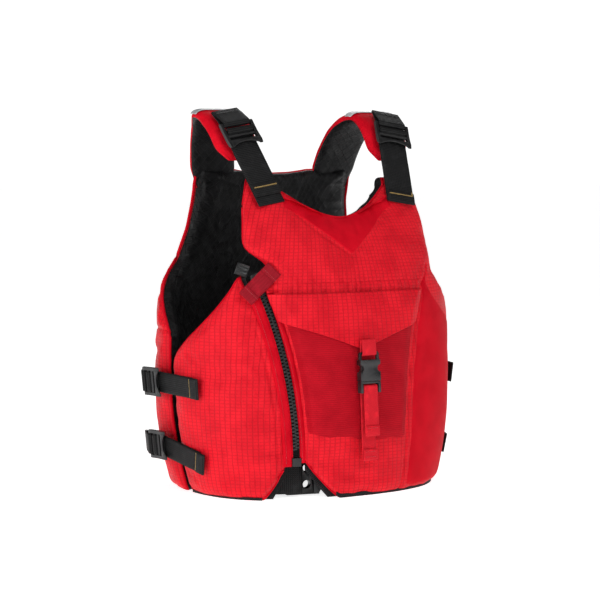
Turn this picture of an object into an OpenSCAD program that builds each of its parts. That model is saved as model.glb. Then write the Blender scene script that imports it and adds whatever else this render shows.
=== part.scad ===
// Paddling life jacket with a zipped side panel, a clamshell chest pocket and six strap adjusters.
// X runs to the wearer's left, the front faces -Y, Z is up, and the hem stands on Z = 0.

/* [Torso] */
// Half of the jacket's width at its widest
body_half_w = 186; // [180:1:192]
// Depth of the front from the middle of the body
front_depth = 140; // [136:1:146]
// Depth of the back from the middle of the body
back_depth = 125; // [120:1:130]
// Height of the front shoulder tabs
tab_z = 378; // [374:1:382]
// Height of the back neckline
nape_z = 382; // [374:1:384]

/* [Padding] */
// Thickness of the front panel
front_pad = 34; // [30:1:36]
// Thickness of the zipped side panel
side_pad = 30; // [26:1:32]
// Thickness of the back panel
back_pad = 22; // [20:1:26]
// Thickness of the panels at the hem
hem_pad = 20; // [18:1:20]
// Thickness of each cover and lining
cloth_t = 1.6; // [1.2:0.1:2]
// Thickness of the shoulder pads
shoulder_pad = 14; // [12:1:16]

/* [Webbing] */
// Width of the shoulder webbing and the waist belt
wide_web = 38; // [36:1:40]
// Width of the side webbing
side_web = 25; // [22:1:28]
// Width of the pocket webbing
pocket_web = 20; // [18:1:22]
// Thickness of the webbing
web_t = 1.5; // [1.2:0.1:1.6]

/* [Zip] */
// Distance between teeth on one side
tooth_pitch = 4.2; // [3.8:0.1:5]

/* [Hidden] */

centre_y = 17.07;               // puts the middle of the jacket's box over the origin
ply_gap = 0.3;                  // air between the layers of a panel
red = [0.82, 0.05, 0.10];
dark_red = [0.62, 0.02, 0.07];
black = [0.05, 0.05, 0.055];
grey = [0.22, 0.22, 0.23];
silver = [0.75, 0.75, 0.77];
fine = 48;

belt_low = 4;                   // height of the waist belt's lower edge
belt_top = belt_low + wide_web;

// ---------- the body's outer surface ----------
function clamp01(x) = max(0, min(1, x));
function unit(v) = v / norm(v);
function front_at(z) = front_depth - 0.00035 * pow(z - 30, 2) - 0.0015 * pow(max(0, z - 230), 2);
function back_at(z) = back_depth - 0.0005 * pow(z - 100, 2);
function half_w_at(z) = body_half_w - 0.001 * pow(min(z, 150) - 150, 2);
roundness = 2.5;                // exponent of the body's rounded-box section

// Point at polar angle t (0 front, 90 wearer's left, 180 back) and height z, at depth d below the surface.
function skin(t, z, d = 0) =
    let (a = half_w_at(z) - d,
         f = (cos(t) >= 0 ? front_at(z) : back_at(z)) - d,
         r = pow(pow(abs(sin(t)) / a, roundness) + pow(abs(cos(t)) / f, roundness), -1 / roundness))
    [r * sin(t), -r * cos(t), z];
// Polar angle of the surface point at sideways distance x, on the front or on the back.
function front_angle(x, z) =
    atan2(x, front_at(z) * pow(1 - pow(abs(x) / half_w_at(z), roundness), 1 / roundness));
function back_angle(x, z) =
    180 - atan2(x, back_at(z) * pow(1 - pow(abs(x) / half_w_at(z), roundness), 1 / roundness));
// Panels thin out to hem_pad at the hem.
function pad_at(z, full) = min(full, hem_pad + 0.5 * max(0, z - 46));

// A closed slab between two surfaces, each a function of s (across) and v (up).
module slab(s_list, v_list, inner, outer) {
    ns = len(s_list);
    nv = len(v_list);
    n = ns * nv;
    points = [for (v = v_list) for (s = s_list) inner(s, v), for (v = v_list) for (s = s_list) outer(s, v)];
    cells = [for (j = [0:nv - 2]) for (i = [0:ns - 2]) j * ns + i];
    inner_faces = [for (c = cells) each [[c, c + 1, c + ns + 1], [c, c + ns + 1, c + ns]]];
    outer_faces = [for (f = inner_faces) [f[0] + n, f[2] + n, f[1] + n]];
    low = [for (i = [0:ns - 2]) i];
    high = [for (i = [0:ns - 2]) (nv - 1) * ns + i];
    left = [for (j = [0:nv - 2]) j * ns];
    right = [for (j = [0:nv - 2]) j * ns + ns - 1];
    rim = [
        for (c = low) each [[c, c + n, c + 1], [c + 1, c + n, c + n + 1]],
        for (c = high) each [[c, c + 1, c + n], [c + 1, c + n + 1, c + n]],
        for (c = left) each [[c, c + ns, c + n], [c + ns, c + n + ns, c + n]],
        for (c = right) each [[c, c + n, c + ns], [c + ns, c + n, c + n + ns]]
    ];
    polyhedron(points, concat(inner_faces, outer_faces, rim));
}

// ---------- the zip: an arc of one circle, so that its slider turns about the circle's axis ----------
zip_sink = 8;                   // depth of the zip below the surface
function on_front(x, z, d) = skin(front_angle(x, z), z, d);
zip_low_z = 52;
zip_top_z = 258;
zip_low = on_front(-89, zip_low_z, zip_sink);
zip_mid = on_front(-99, 150, zip_sink);
zip_top = on_front(-128, zip_top_z, zip_sink);
// Centre of the circle through three points.
function circle_centre(a, b, c) =
    let (u = b - a, w = c - a, q = cross(u, w))
    a + (cross(q, u) * (w * w) + cross(w, q) * (u * u)) / (2 * (q * q));
zip_centre = circle_centre(zip_low, zip_mid, zip_top);
zip_radius = norm(zip_top - zip_centre);
zip_axis = unit(cross(zip_top - zip_centre, zip_low - zip_centre));
zip_sweep = acos((zip_top - zip_centre) * (zip_low - zip_centre) / pow(zip_radius, 2));
zip_up = unit(cross(zip_top - zip_centre, zip_axis));
zip_out = let (g = [zip_top[0], zip_top[1] * 3.2, 60]) unit(g - zip_up * (g * zip_up));
zip_side = cross(zip_out, zip_up);
// Angle of a length along the zip.
function zip_angle(run) = run / zip_radius * 180 / PI;
function zip_at_angle(a) =
    let (p = zip_top - zip_centre) zip_centre + p * cos(a) + cross(zip_axis, p) * sin(a);
// The arc's point at height z, found by halving, and the polar angle a few millimetres beside it.
function zip_point(z, lo = 0, hi = zip_sweep, k = 14) =
    let (m = (lo + hi) / 2)
    k == 0 ? zip_at_angle(m) :
    zip_at_angle(m)[2] > z ? zip_point(z, m, hi, k - 1) : zip_point(z, lo, m, k - 1);
function beside_zip(z, margin) =
    let (p = zip_point(max(zip_low_z, min(z, zip_top_z))))
    atan2(p[0], -p[1]) + margin / norm([p[0], p[1]]) * 180 / PI;

// Places children at angle a down the zip: X to the front panel, Y out of the jacket, Z up the zip.
module at_zip(a) {
    m = [for (i = [0:2]) [-zip_side[i], zip_out[i], zip_up[i], zip_top[i]]];
    translate(zip_centre) rotate(a = a, v = zip_axis) translate(-zip_centre)
        multmatrix([m[0], m[1], m[2], [0, 0, 0, 1]]) children();
}

// ---------- edges of the panels ----------
seam_angle = 90;                // where the front panels end at the sides
wing_angle = 93.7;              // where the back panel's wings end
peak_z = 264;                   // top of the zipped side panel
arm_low = 168;                  // lowest point of the armholes
function arm_x(z) = lookup(z, [[peak_z, 139], [310, 138], [345, 133], [tab_z, 122]]);
function arm_angle(z) =
    z < arm_low ? seam_angle :
    z < peak_z ?
        seam_angle + (front_angle(arm_x(peak_z), peak_z) - seam_angle) * (z - arm_low) / (peak_z - arm_low) :
    front_angle(arm_x(z), z);
front_margin = 10;              // from the zip line to the front panel's edge
side_margin = 12;               // from the zip line to the side panel's edge
corner_low = 274;               // the front panel's corner over the zip's end lies between these heights
corner_high = 302;
function corner_mix(a, b, share) = a + (b - a) * share;
function front_left_angle(z) =
    z < corner_low ? beside_zip(z, front_margin) :
    z < corner_high ? corner_mix(front_left_angle(corner_low - 0.01), -arm_angle(corner_high),
        (z - corner_low) / (corner_high - corner_low)) :
    -arm_angle(z);
neck_z = 331;                   // lowest point of the front neckline
function neck_top(s) =
    let (q = abs(s - 0.5) / 0.42) q < 1 ? neck_z + (tab_z - 8 - neck_z) * pow(q, 1.9) : tab_z;
notch_z = 46;                   // height of the notch in the hem under the zip
function front_low(s) = notch_z * clamp01(1 - s / 0.15);
function front_z(s, v) = front_low(s) + v * (neck_top(s) - front_low(s));
function front_t(s, z) = front_left_angle(z) + s * (arm_angle(z) - front_left_angle(z));
// The cover dips towards a panel's edges: q is the distance from the edge in shares of its width.
function edge_dip(q, depth) = lookup(q, [[0, depth], [0.03, depth * 0.35], [0.08, 0]]);
function dip(s, v, depth) = max(edge_dip(min(s, 1 - s), depth), edge_dip(min(v, 1 - v), depth));

// The front's foam is in two slabs that meet in the middle.
front_right_s = [0, 0.03, 0.08, 0.15, 0.21, 0.27, 0.35, 0.43, 0.498];
front_left_s = [0.502, 0.57, 0.65, 0.73, 0.8, 0.86, 0.92, 0.97, 1];
front_s = concat(front_right_s, front_left_s);
front_v = [0, 0.03, 0.08, 0.16, 0.24, 0.34, 0.443, 0.55, 0.645, 0.698, 0.78, 0.85, 0.92, 0.97, 1];
// The front panel at a share k of its thickness, from 0 outside to 1 inside, moved inwards by d.
front_point = function (s, v, k, d)
    let (z = front_z(s, v), top = pad_at(z, front_pad), skin_d = dip(s, v, 8))
    skin(front_t(s, z), z, skin_d + k * (top - skin_d) + d);

peak_share = 0.86;              // where the side panel's peak lies across it
function side_right_angle(z) = beside_zip(z, -side_margin - 0.1 * max(0, z - 205));
function side_top(s) = arm_low + (peak_z - arm_low) * s;
function side_low(s) = (notch_z - 4) * clamp01((s - 0.8) / 0.2);
function side_z(s, v) = side_low(s) + v * (side_top(s) - side_low(s));
function side_t(s, z) = -seam_angle + s * (side_right_angle(z) + seam_angle);
side_s = [0, 0.05, 0.12, 0.25, 0.4, 0.55, 0.68, 0.8, 0.88, 0.95, 1];
side_v = [0, 0.04, 0.1, 0.22, 0.36, 0.5, 0.64, 0.78, 0.9, 0.96, 1];
side_point = function (s, v, k, d)
    let (z = side_z(s, v), top = pad_at(z, side_pad),
         skin_d = dip(s * 0.6 + (s > 0.5 ? 0.4 : 0), v * 0.8 + (v > 0.5 ? 0.2 : 0), 8))
    skin(side_t(s, z), z, skin_d + k * (top - skin_d) + d);

function back_arm_x(z) = lookup(z, [[277, 140], [314, 124], [350, 119], [395, 120]]);
function back_arm_angle(z) =
    z < 190 ? wing_angle :
    z < 277 ? wing_angle + (back_angle(back_arm_x(277), 277) - wing_angle) * pow((z - 190) / 87, 1.2) :
    back_angle(back_arm_x(z), z);
pad_start_z = 386;              // where the shoulder pads leave the back panel
function back_top(s) =
    let (q = abs(s - 0.5) / 0.296) q < 1 ? nape_z + (pad_start_z - nape_z) * pow(q, 3) : pad_start_z;
back_point = function (s, v, k, d)
    let (z = v * back_top(s), t0 = back_arm_angle(z), top = pad_at(z, back_pad),
         skin_d = dip(s, min(v, 0.5), 6))
    skin(t0 + s * (360 - 2 * t0), z, skin_d + k * (top - skin_d) + d);
// The back's foam is in four slabs: two in the middle and one in each wing.
left_wing_s = [0, 0.03, 0.08, 0.14, 0.2];
middle_left_s = [0.204, 0.28, 0.36, 0.43, 0.498];
middle_right_s = [0.502, 0.57, 0.64, 0.72, 0.796];
right_wing_s = [0.8, 0.86, 0.92, 0.97, 1];
back_s = concat(left_wing_s, middle_left_s, middle_right_s, right_wing_s);
back_v = [0, 0.03, 0.08, 0.18, 0.3, 0.4, 0.485, 0.56, 0.63, 0.707, 0.78, 0.85, 0.92, 1];

module panel_cover(s_list, v_list, point) {
    slab(s_list, v_list, function (s, v) point(s, v, 0, cloth_t), function (s, v) point(s, v, 0, 0));
}
module panel_foam(s_list, v_list, point) {
    slab(s_list, v_list, function (s, v) point(s, v, 1, -cloth_t - ply_gap),
        function (s, v) point(s, v, 0, cloth_t + ply_gap));
}
module panel_lining(s_list, v_list, point) {
    slab(s_list, v_list, function (s, v) point(s, v, 1, 0), function (s, v) point(s, v, 1, -cloth_t));
}

module front_cover() { color(red) panel_cover(front_s, front_v, front_point); }
module front_foam_right() { color(silver) panel_foam(front_right_s, front_v, front_point); }
module front_foam_left() { color(silver) panel_foam(front_left_s, front_v, front_point); }
module front_lining() { color(black) panel_lining(front_s, front_v, front_point); }
module side_cover() { color(red) panel_cover(side_s, side_v, side_point); }
module side_foam() { color(silver) panel_foam(side_s, side_v, side_point); }
module side_lining() { color(black) panel_lining(side_s, side_v, side_point); }
module back_cover() { color(red) panel_cover(back_s, back_v, back_point); }
module back_foam_middle_left() { color(silver) panel_foam(middle_left_s, back_v, back_point); }
module back_foam_middle_right() { color(silver) panel_foam(middle_right_s, back_v, back_point); }
module back_foam_right() { color(silver) panel_foam(right_wing_s, back_v, back_point); }
module back_foam_left() { color(silver) panel_foam(left_wing_s, back_v, back_point); }
module back_lining() { color(black) panel_lining(back_s, back_v, back_point); }

// A patch of cloth over angles t0(z) to t1(z) and heights z0(s) to z1(s), lying at depths d0 to d1.
module patch(s_list, v_list, t0, t1, z0, z1, d0, d1) {
    spot = function (s, v, d) let (z = z0(s) + v * (z1(s) - z0(s))) skin(t0(z) + s * (t1(z) - t0(z)), z, d);
    slab(s_list, v_list, function (s, v) spot(s, v, d0(s, v)), function (s, v) spot(s, v, d1(s, v)));
}
function steps(n) = [for (i = [0:n]) i / n];

// Stretch cloth behind the gaps at the sides.
gusset_low = belt_top + 1.5;
gusset_top = 156;
gusset_angle = (seam_angle + wing_angle) / 2;
function gusset_depth(v) =
    pad_at(gusset_low + v * (gusset_top - gusset_low), max(front_pad, side_pad)) + cloth_t + 2.6;
module side_gussets() {
    color(dark_red)
        for (turn = [-1, 1])
            patch(steps(3), steps(4),
                function (z) turn * gusset_angle - 6.5, function (z) turn * gusset_angle + 6.5,
                function (s) gusset_low, function (s) gusset_top,
                function (s, v) gusset_depth(v) + 1.2, function (s, v) gusset_depth(v));
}

trim_low = 0.5;                 // cloth sewn on the covers lies between these heights above them
trim_high = 1.5;
// V-shaped cloth under the neckline.
yoke_half_w = 77;
module neck_yoke() {
    color(red)
        patch(steps(12), steps(4),
            function (z) front_angle(-yoke_half_w, z), function (z) front_angle(yoke_half_w, z),
            function (s) 286 + 57 * abs(2 * s - 1),
            function (s) neck_z - 4 + 39 * pow(abs(2 * s - 1) * 0.75, 1.9),
            function (s, v) -trim_low, function (s, v) -trim_high);
}

// Plain cloth down the wearer's left side.
function pocket_edge_x(z) =
    lookup(z, [[0, 55], [50, 61], [100, 65], [150, 71], [205, 85], [245, 100], [275, 118]]);
module side_band() {
    color(red)
        patch(steps(10), steps(12),
            function (z) front_angle(pocket_edge_x(z), z), function (z) min(arm_angle(z), 81) - 1,
            function (s) 12, function (s) 262 - 92 * s,
            function (s, v) -trim_low, function (s, v) -trim_high);
}

// ---------- chest pocket ----------
hinge_z = 244;                  // seam where the flap turns
pocket_proud = 7;               // how far the pocket stands out
flap_proud = 8.2;               // outer face of the flap over the pocket
module pocket_bag() {
    color(dark_red)
        patch(steps(10), steps(8),
            function (z) beside_zip(z, front_margin + 5),
            function (z) front_angle(pocket_edge_x(z) - 2, z),
            function (s) 62 + 14 * pow(1 - s, 2), function (s) 232,
            function (s, v) -trim_low,
            function (s, v)
                -1.5 - (pocket_proud - 1.5) * clamp01(min(s, 1 - s) * 6) * clamp01(min(v * 6, (1 - v) * 3)));
}
// The flap's lower edge falls to a short straight tip in the middle.
function flap_low(s) = lookup(s, [[0, 212], [0.5, 178], [0.58, 178], [1, 206]]);
module pocket_flap() {
    color(red)
        patch([0, 0.1, 0.2, 0.3, 0.4, 0.5, 0.58, 0.7, 0.8, 0.9, 1], steps(6),
            function (z) front_angle(-103, z), function (z) front_angle(92, z),
            function (s) flap_low(s), function (s) hinge_z - 1,
            function (s, v) -2.2 - (flap_proud - 3.4) * clamp01((1 - v) * 3),
            function (s, v) -3.4 - (flap_proud - 3.4) * clamp01((1 - v) * 3));
}

// Frame of the pocket's strap: X to the side, Y out of the jacket, Z up, its origin at the buckle.
strap_tilt = 4;                 // the strap leans out towards its lower end
buckle_z = 150;
buckle_y = -front_at(buckle_z) - pocket_proud - 7.2;
module at_buckle() {
    translate([0, buckle_y, buckle_z]) rotate([-strap_tilt, 0, 0]) rotate([0, 0, 180]) children();
}
module box(low, high) {
    translate(low) cube(high - low);
}

// Webbing from the flap's tip, looped round the socket's bar.
socket_bar_z = 22;
tab_inner_r = 1.8;
tab_outer_r = tab_inner_r + web_t;
module flap_tab() {
    color(red) at_buckle() {
        translate([-pocket_web / 2, 0, socket_bar_z]) difference() {
            rotate([0, 90, 0]) cylinder(r = tab_outer_r, h = pocket_web, $fn = fine);
            translate([-1, 0, 0]) rotate([0, 90, 0])
                cylinder(r = tab_inner_r, h = pocket_web + 2, $fn = fine);
            box([-1, -5, 0], [pocket_web + 1, 5, 5]);
        }
        for (face = [-1, 1])
            translate([-pocket_web / 2, face * (tab_inner_r + web_t / 2) - web_t / 2, socket_bar_z])
                cube([pocket_web, web_t, 16]);
    }
}
socket_w = 28;
// Female half of the small buckle: an open shell with side windows and a bar on top.
module pocket_buckle_socket() {
    color(grey) at_buckle() {
        difference() {
            union() {
                box([-socket_w / 2, -4.2, -11], [socket_w / 2, 4.2, 14]);
                for (side = [-1, 1])
                    translate([side * (socket_w / 2 - 1.6) - 1.6, -1.6, 13]) cube([3.2, 3.2, 9]);
            }
            box([-socket_w / 2 + 2, -2.6, -12], [socket_w / 2 - 2, 2.6, 12]);
            for (side = [-1, 1])
                translate([side * socket_w / 2, 0, 4]) rotate([90, 0, 0])
                    cylinder(r = 4.4, h = 12, center = true, $fn = fine);
        }
        translate([-socket_w / 2 + 1, 0, socket_bar_z]) rotate([0, 90, 0])
            cylinder(r = 1.5, h = socket_w - 2, $fn = fine);
    }
}
// Male half: a bar frame below and two prongs inside the socket.
module pocket_buckle_plug() {
    color(grey) at_buckle() {
        difference() {
            box([-socket_w / 2, -3.6, -25], [socket_w / 2, 3.6, -11.4]);
            box([-socket_w / 2 + 3, -5, -22.6], [socket_w / 2 - 3, 5, -14]);
            box([-socket_w / 2 + 3, 1.4, -26], [socket_w / 2 - 3, 5, -22]);
        }
        translate([-socket_w / 2 + 1, 0, plug_bar_z]) rotate([0, 90, 0])
            cylinder(r = 1.3, h = socket_w - 2, $fn = fine);
        box([-2, -2, -12], [2, 2, 6]);
        for (side = [-1, 1]) {
            translate([side * 9.6 - 1.3, -2, -12]) cube([2.6, 4, 17]);
            translate([side * 9.8 - 1.6, -2, 2]) cube([3.2, 4, 6]);
        }
    }
}
strap_foot_z = 50;
// Webbing sewn to the foot of the pocket, running up behind the buckle.
module pocket_strap() {
    color(red) at_buckle() {
        box([-pocket_web / 2, -4.6 - web_t, strap_foot_z - buckle_z - 6], [pocket_web / 2, -4.6, -14]);
        box([-pocket_web / 2, -4.6, strap_foot_z - buckle_z - 6],
            [pocket_web / 2, -1.9, strap_foot_z - buckle_z + 8]);
    }
}
// Its loose end, looped round the plug's bar and hemmed at the tip.
plug_bar_z = -18.2;
tail_inner_r = 1.6;
tail_outer_r = tail_inner_r + web_t;
module pocket_strap_tail() {
    color(red) at_buckle() {
        translate([-pocket_web / 2, 0, plug_bar_z]) difference() {
            rotate([0, 90, 0]) cylinder(r = tail_outer_r, h = pocket_web, $fn = fine);
            translate([-1, 0, 0]) rotate([0, 90, 0])
                cylinder(r = tail_inner_r, h = pocket_web + 2, $fn = fine);
            box([-1, -5, -5], [pocket_web + 1, 5, 0]);
        }
        box([-pocket_web / 2, tail_inner_r, -76], [pocket_web / 2, tail_outer_r, plug_bar_z]);
        box([-pocket_web / 2, -tail_outer_r, plug_bar_z - 4], [pocket_web / 2, -tail_inner_r, plug_bar_z]);
        box([-pocket_web / 2, tail_outer_r, -76], [pocket_web / 2, tail_outer_r + web_t, -64]);
    }
}

// ---------- zip parts ----------
tape_w = 9.2;                   // from the zip line to a tape's edge
tooth_reach = 4;                // from the zip line to a tooth's far end
tooth_step = zip_angle(tooth_pitch);
tape_over = zip_angle(8.8);      // the tapes run this far past the zip's top
module zip_tape(side) {
    x0 = side > 0 ? tooth_reach + 0.1 : -tape_w;
    x1 = side > 0 ? tape_w : -tooth_reach - 0.1;
    count = 16;
    step = (zip_sweep + tape_over + zip_angle(1.2)) / count;
    half = step * PI / 180 * zip_radius / 2 - 0.2;
    for (i = [0:count - 1])
        at_zip(-tape_over + step * (i + 0.5)) box([x0, -0.5, -half], [x1, 0.5, half]);
}
module zip_tape_front() { color(red) zip_tape(1); }
module zip_tape_side() { color(red) zip_tape(-1); }
module zip_teeth(side) {
    first = zip_angle(13);
    count = floor((zip_sweep - first) / tooth_step) - 2;
    for (i = [0:count])
        at_zip(first + (i + (side > 0 ? 0 : 0.5)) * tooth_step)
            box([side > 0 ? 0.9 : -tooth_reach, -1.6, -1.3], [side > 0 ? tooth_reach : -0.9, 1.6, 1.3]);
}
module zip_teeth_front() { color(black) zip_teeth(1); }
module zip_teeth_side() { color(black) zip_teeth(-1); }
// Two plates joined by a thin neck, with a bridge on the outside.
module zip_slider() {
    color(black) at_zip(0) {
        for (side = [-1, 1])
            translate([0, side * 3, 0]) rotate([90, 0, 0])
                linear_extrude(1.6, center = true)
                    polygon([[-4.6, -9], [4.6, -9], [6.4, 2], [4, 9], [-4, 9], [-6.4, 2]]);
        box([-0.55, -3, 2], [0.55, 3, 9]);
        difference() {
            box([-1.5, 3.5, -6], [1.5, 7, 6]);
            box([-2, 3.7, -3.6], [2, 5.6, 3.6]);
        }
    }
}
// Moulded stop where the zip ends at the armhole.
module zip_garage() {
    color(black) at_zip(-zip_angle(13.2)) translate([-5, 0, 1]) rotate([0, -46, 0]) {
        box([-7, -2.6, 0], [7, 2.6, 15]);
        for (k = [-1:1]) box([k * 4.4 - 1, 2.6, 1.5], [k * 4.4 + 1, 4, 13.5]);
    }
}
// Retainer at the foot of the zip.
module zip_end_box() {
    color(black) at_zip(zip_sweep + zip_angle(6.9)) {
        box([-5.5, -2.4, -5], [5.5, 2.4, 5]);
    }
}
// Webbing tab that folds over the parked slider.
keeper_w = 24;
keeper_l = 50;
keeper_turn = -22;
module at_keeper() {
    at_zip(zip_angle(4.4)) rotate([0, keeper_turn, 0]) translate([-keeper_l / 2, 9.2, 0]) children();
}
module zip_keeper() {
    color(red) at_keeper() {
        box([0, 0, -keeper_w / 2], [keeper_l, 1.5, keeper_w / 2]);
        box([0, 1.5, -keeper_w / 2], [12, 2.9, keeper_w / 2]);
        box([keeper_l - 12, 1.5, -keeper_w / 2], [keeper_l, 2.9, keeper_w / 2]);
    }
}

// ---------- shoulder pads ----------
arch = [[76, 391], [58, 470], [-8, 494], [-40, 402]];    // Y and Z of the pads' outer face
function bez(p, t) =
    pow(1 - t, 3) * p[0] + 3 * pow(1 - t, 2) * t * p[1] + 3 * (1 - t) * t * t * p[2] + pow(t, 3) * p[3];
function bez_dir(p, t) =
    unit(pow(1 - t, 2) * (p[1] - p[0]) + 2 * (1 - t) * t * (p[2] - p[1]) + t * t * (p[3] - p[2]));
function pad_inner_x(t) = lookup(t, [[0, 58], [0.3, 70], [0.5, 79], [0.95, 80], [1, 86]]);
function pad_outer_x(t) = lookup(t, [[0, 120], [0.3, 132], [0.5, 144], [0.75, 144], [0.95, 138], [1, 130]]);
// A pad's point: s across it from the neck outwards, t over the shoulder, depth below its outer face.
function pad_spot(side, s, t, depth) =
    let (p = bez(arch, t), g = bez_dir(arch, t),
         sag = depth < shoulder_pad / 2 ? 3.5 * pow(2 * s - 1, 4) : 0)
    [side * (pad_inner_x(t) + s * (pad_outer_x(t) - pad_inner_x(t))),
     p[0] - g[1] * (depth + sag), p[1] + g[0] * (depth + sag)];
pad_rows = [0, 0.1, 0.2, 0.3, 0.4, 0.5, 0.6, 0.7, 0.8, 0.88, 0.95, 1];
module pad_layer(side, near, far, rows = pad_rows) {
    slab(side < 0 ? steps(6) : [for (s = steps(6)) 1 - s], rows,
        function (s, t) pad_spot(side, s, t, far), function (s, t) pad_spot(side, s, t, near));
}
module shoulder_cover(side) { color(red) pad_layer(side, 0, cloth_t); }
module shoulder_foam(side) {
    color(silver) pad_layer(side, cloth_t + ply_gap, shoulder_pad - cloth_t - ply_gap);
}
module shoulder_lining(side) { color(black) pad_layer(side, shoulder_pad - cloth_t, shoulder_pad); }
module reflective_bands() {
    color(silver)
        for (side = [-1, 1]) pad_layer(side, -1.3, -ply_gap, [0.5, 0.54, 0.58, 0.62]);
}

// ---------- ladder locks and their webbing ----------
// Lock frames: X along the bars, Y down the strap, Z out of the jacket; the origin is in the middle of
// the lock's back.
module in_frame(origin, x_dir, y_dir) {
    z_dir = cross(x_dir, y_dir);
    multmatrix([for (i = [0:2]) [x_dir[i], y_dir[i], z_dir[i], origin[i]], [0, 0, 0, 1]]) children();
}
bar_y = -14;                    // the fixed bar, on which a lock turns
bar_z = 2.2;
module at_shoulder(side) {
    down = unit([-0.184 * side, -0.5, -0.85]);
    across = unit(cross(down, [0, -0.86, 0.5]));
    in_frame([side * 110, -35.6, 430.7], across, down) children();
}
// The bars of each side's two locks lie on one line, about which the zipped side panel swings.
upper_bar = [202.5, 34, 134];
lower_bar = [194.6, 34, 57];
module at_side(side, bar) {
    mirrored = [side, 1, 1];
    place = [for (i = [0:2]) bar[i] * mirrored[i]];
    line = unit([for (i = [0:2]) (upper_bar - lower_bar)[i] * mirrored[i]]) * side;
    ahead = [-0.15 * side, -0.98, 0];
    down = unit(ahead - line * (ahead * line));
    out = cross(line, down);
    in_frame(place - bar_y * down - bar_z * out, line, down) children();
}
module ladder_lock(web) {
    half = web / 2 + 0.8;
    rail = 3.7;
    for (end = [-1, 1]) {
        translate([end * (half + rail / 2) - rail / 2, bar_y, 0]) cube([rail, 30, 4.4]);
        translate([end * (half + rail / 2) - rail / 2, bar_y, bar_z]) rotate([0, 90, 0])
            cylinder(r = 2.2, h = rail, $fn = fine);
    }
    translate([-half - 0.1, bar_y, bar_z]) rotate([0, 90, 0]) cylinder(r = 2, h = 2 * half + 0.2, $fn = fine);
    box([-half - 0.1, -6, 0.4], [half + 0.1, -1.6, 3.4]);
    for (k = [0:2])
        translate([-half - 0.1, -5.2 + 1.4 * k, 3.4]) rotate([0, 90, 0])
            cylinder(r = 0.6, h = 2 * half + 0.2, $fn = 16);
    difference() {
        box([-half - 0.1, 5, 0.4], [half + 0.1, 18, 6]);
        translate([-half - 6, 10.5, 11.4]) rotate([0, 90, 0]) cylinder(r = 9, h = 2 * half + 12, $fn = fine);
    }
}
// Webbing from the lock to the panel, under the loose end.
module standing_web(web, length) {
    box([-web / 2, 2, -3.7], [web / 2, length, -3.7 + web_t]);
}
// Loose end with a folded hem.
hem_fold = 14;
module loose_end(web, length) {
    box([-web / 2, 2, -0.4 - web_t], [web / 2, length, -0.4]);
    box([-web / 2, length - hem_fold, -0.4], [web / 2, length, -0.4 + web_t]);
}
// Sewn loop round a lock's fixed bar.
module bar_loop(web, length, droop) {
    translate([-web / 2, bar_y, bar_z]) rotate([droop, 0, 0]) {
        difference() {
            rotate([0, 90, 0]) cylinder(r = 2.4 + web_t, h = web, $fn = fine);
            translate([-1, 0, 0]) rotate([0, 90, 0]) cylinder(r = 2.4, h = web + 2, $fn = fine);
            box([-1, -5, -5], [web + 1, 0, 5]);
        }
        for (leg = [-1, 1])
            translate([0, -length, leg * (2.4 + web_t / 2) - web_t / 2]) cube([web, length, web_t]);
    }
}
tail_right = 84;                // lengths of the shoulders' loose ends
tail_left = 98;
shoulder_web_l = 96;
module shoulder_lock(side) { color(black) at_shoulder(side) ladder_lock(wide_web); }
module shoulder_web(side) { color(black) at_shoulder(side) standing_web(wide_web, shoulder_web_l); }
module shoulder_tail(side, length) { color(black) at_shoulder(side) loose_end(wide_web, length); }
upper_slope = 3;                // how far the side straps fall towards the front
lower_slope = 12;
side_web_l = 74;
side_tail_l = 86;
module side_lock(side, bar) { color(black) at_side(side, bar) ladder_lock(side_web); }
module side_webs(side) {
    color(black) {
        at_side(side, upper_bar) rotate([0, 0, side * upper_slope]) standing_web(side_web, side_web_l);
        at_side(side, lower_bar) rotate([0, 0, side * lower_slope]) standing_web(side_web, side_web_l);
    }
}
module side_tail(side, bar, slope) {
    color(black) at_side(side, bar) rotate([0, 0, side * slope]) loose_end(side_web, side_tail_l);
}
module lock_loops() {
    color(black)
        for (side = [-1, 1]) {
            at_shoulder(side) bar_loop(wide_web, 26, 22);
            at_side(side, upper_bar) bar_loop(side_web, 28, 35);
            at_side(side, lower_bar) bar_loop(side_web, 28, 25);
        }
}

// ---------- waist belt, inside the hem ----------
belt_depth = 25;
module belt_web() {
    color(black)
        patch(steps(44), steps(1),
            function (z) front_angle(4, 23), function (z) 360 + front_angle(-82, 23),
            function (s) belt_low, function (s) belt_top,
            function (s, v) belt_depth + web_t, function (s, v) belt_depth);
}
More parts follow.
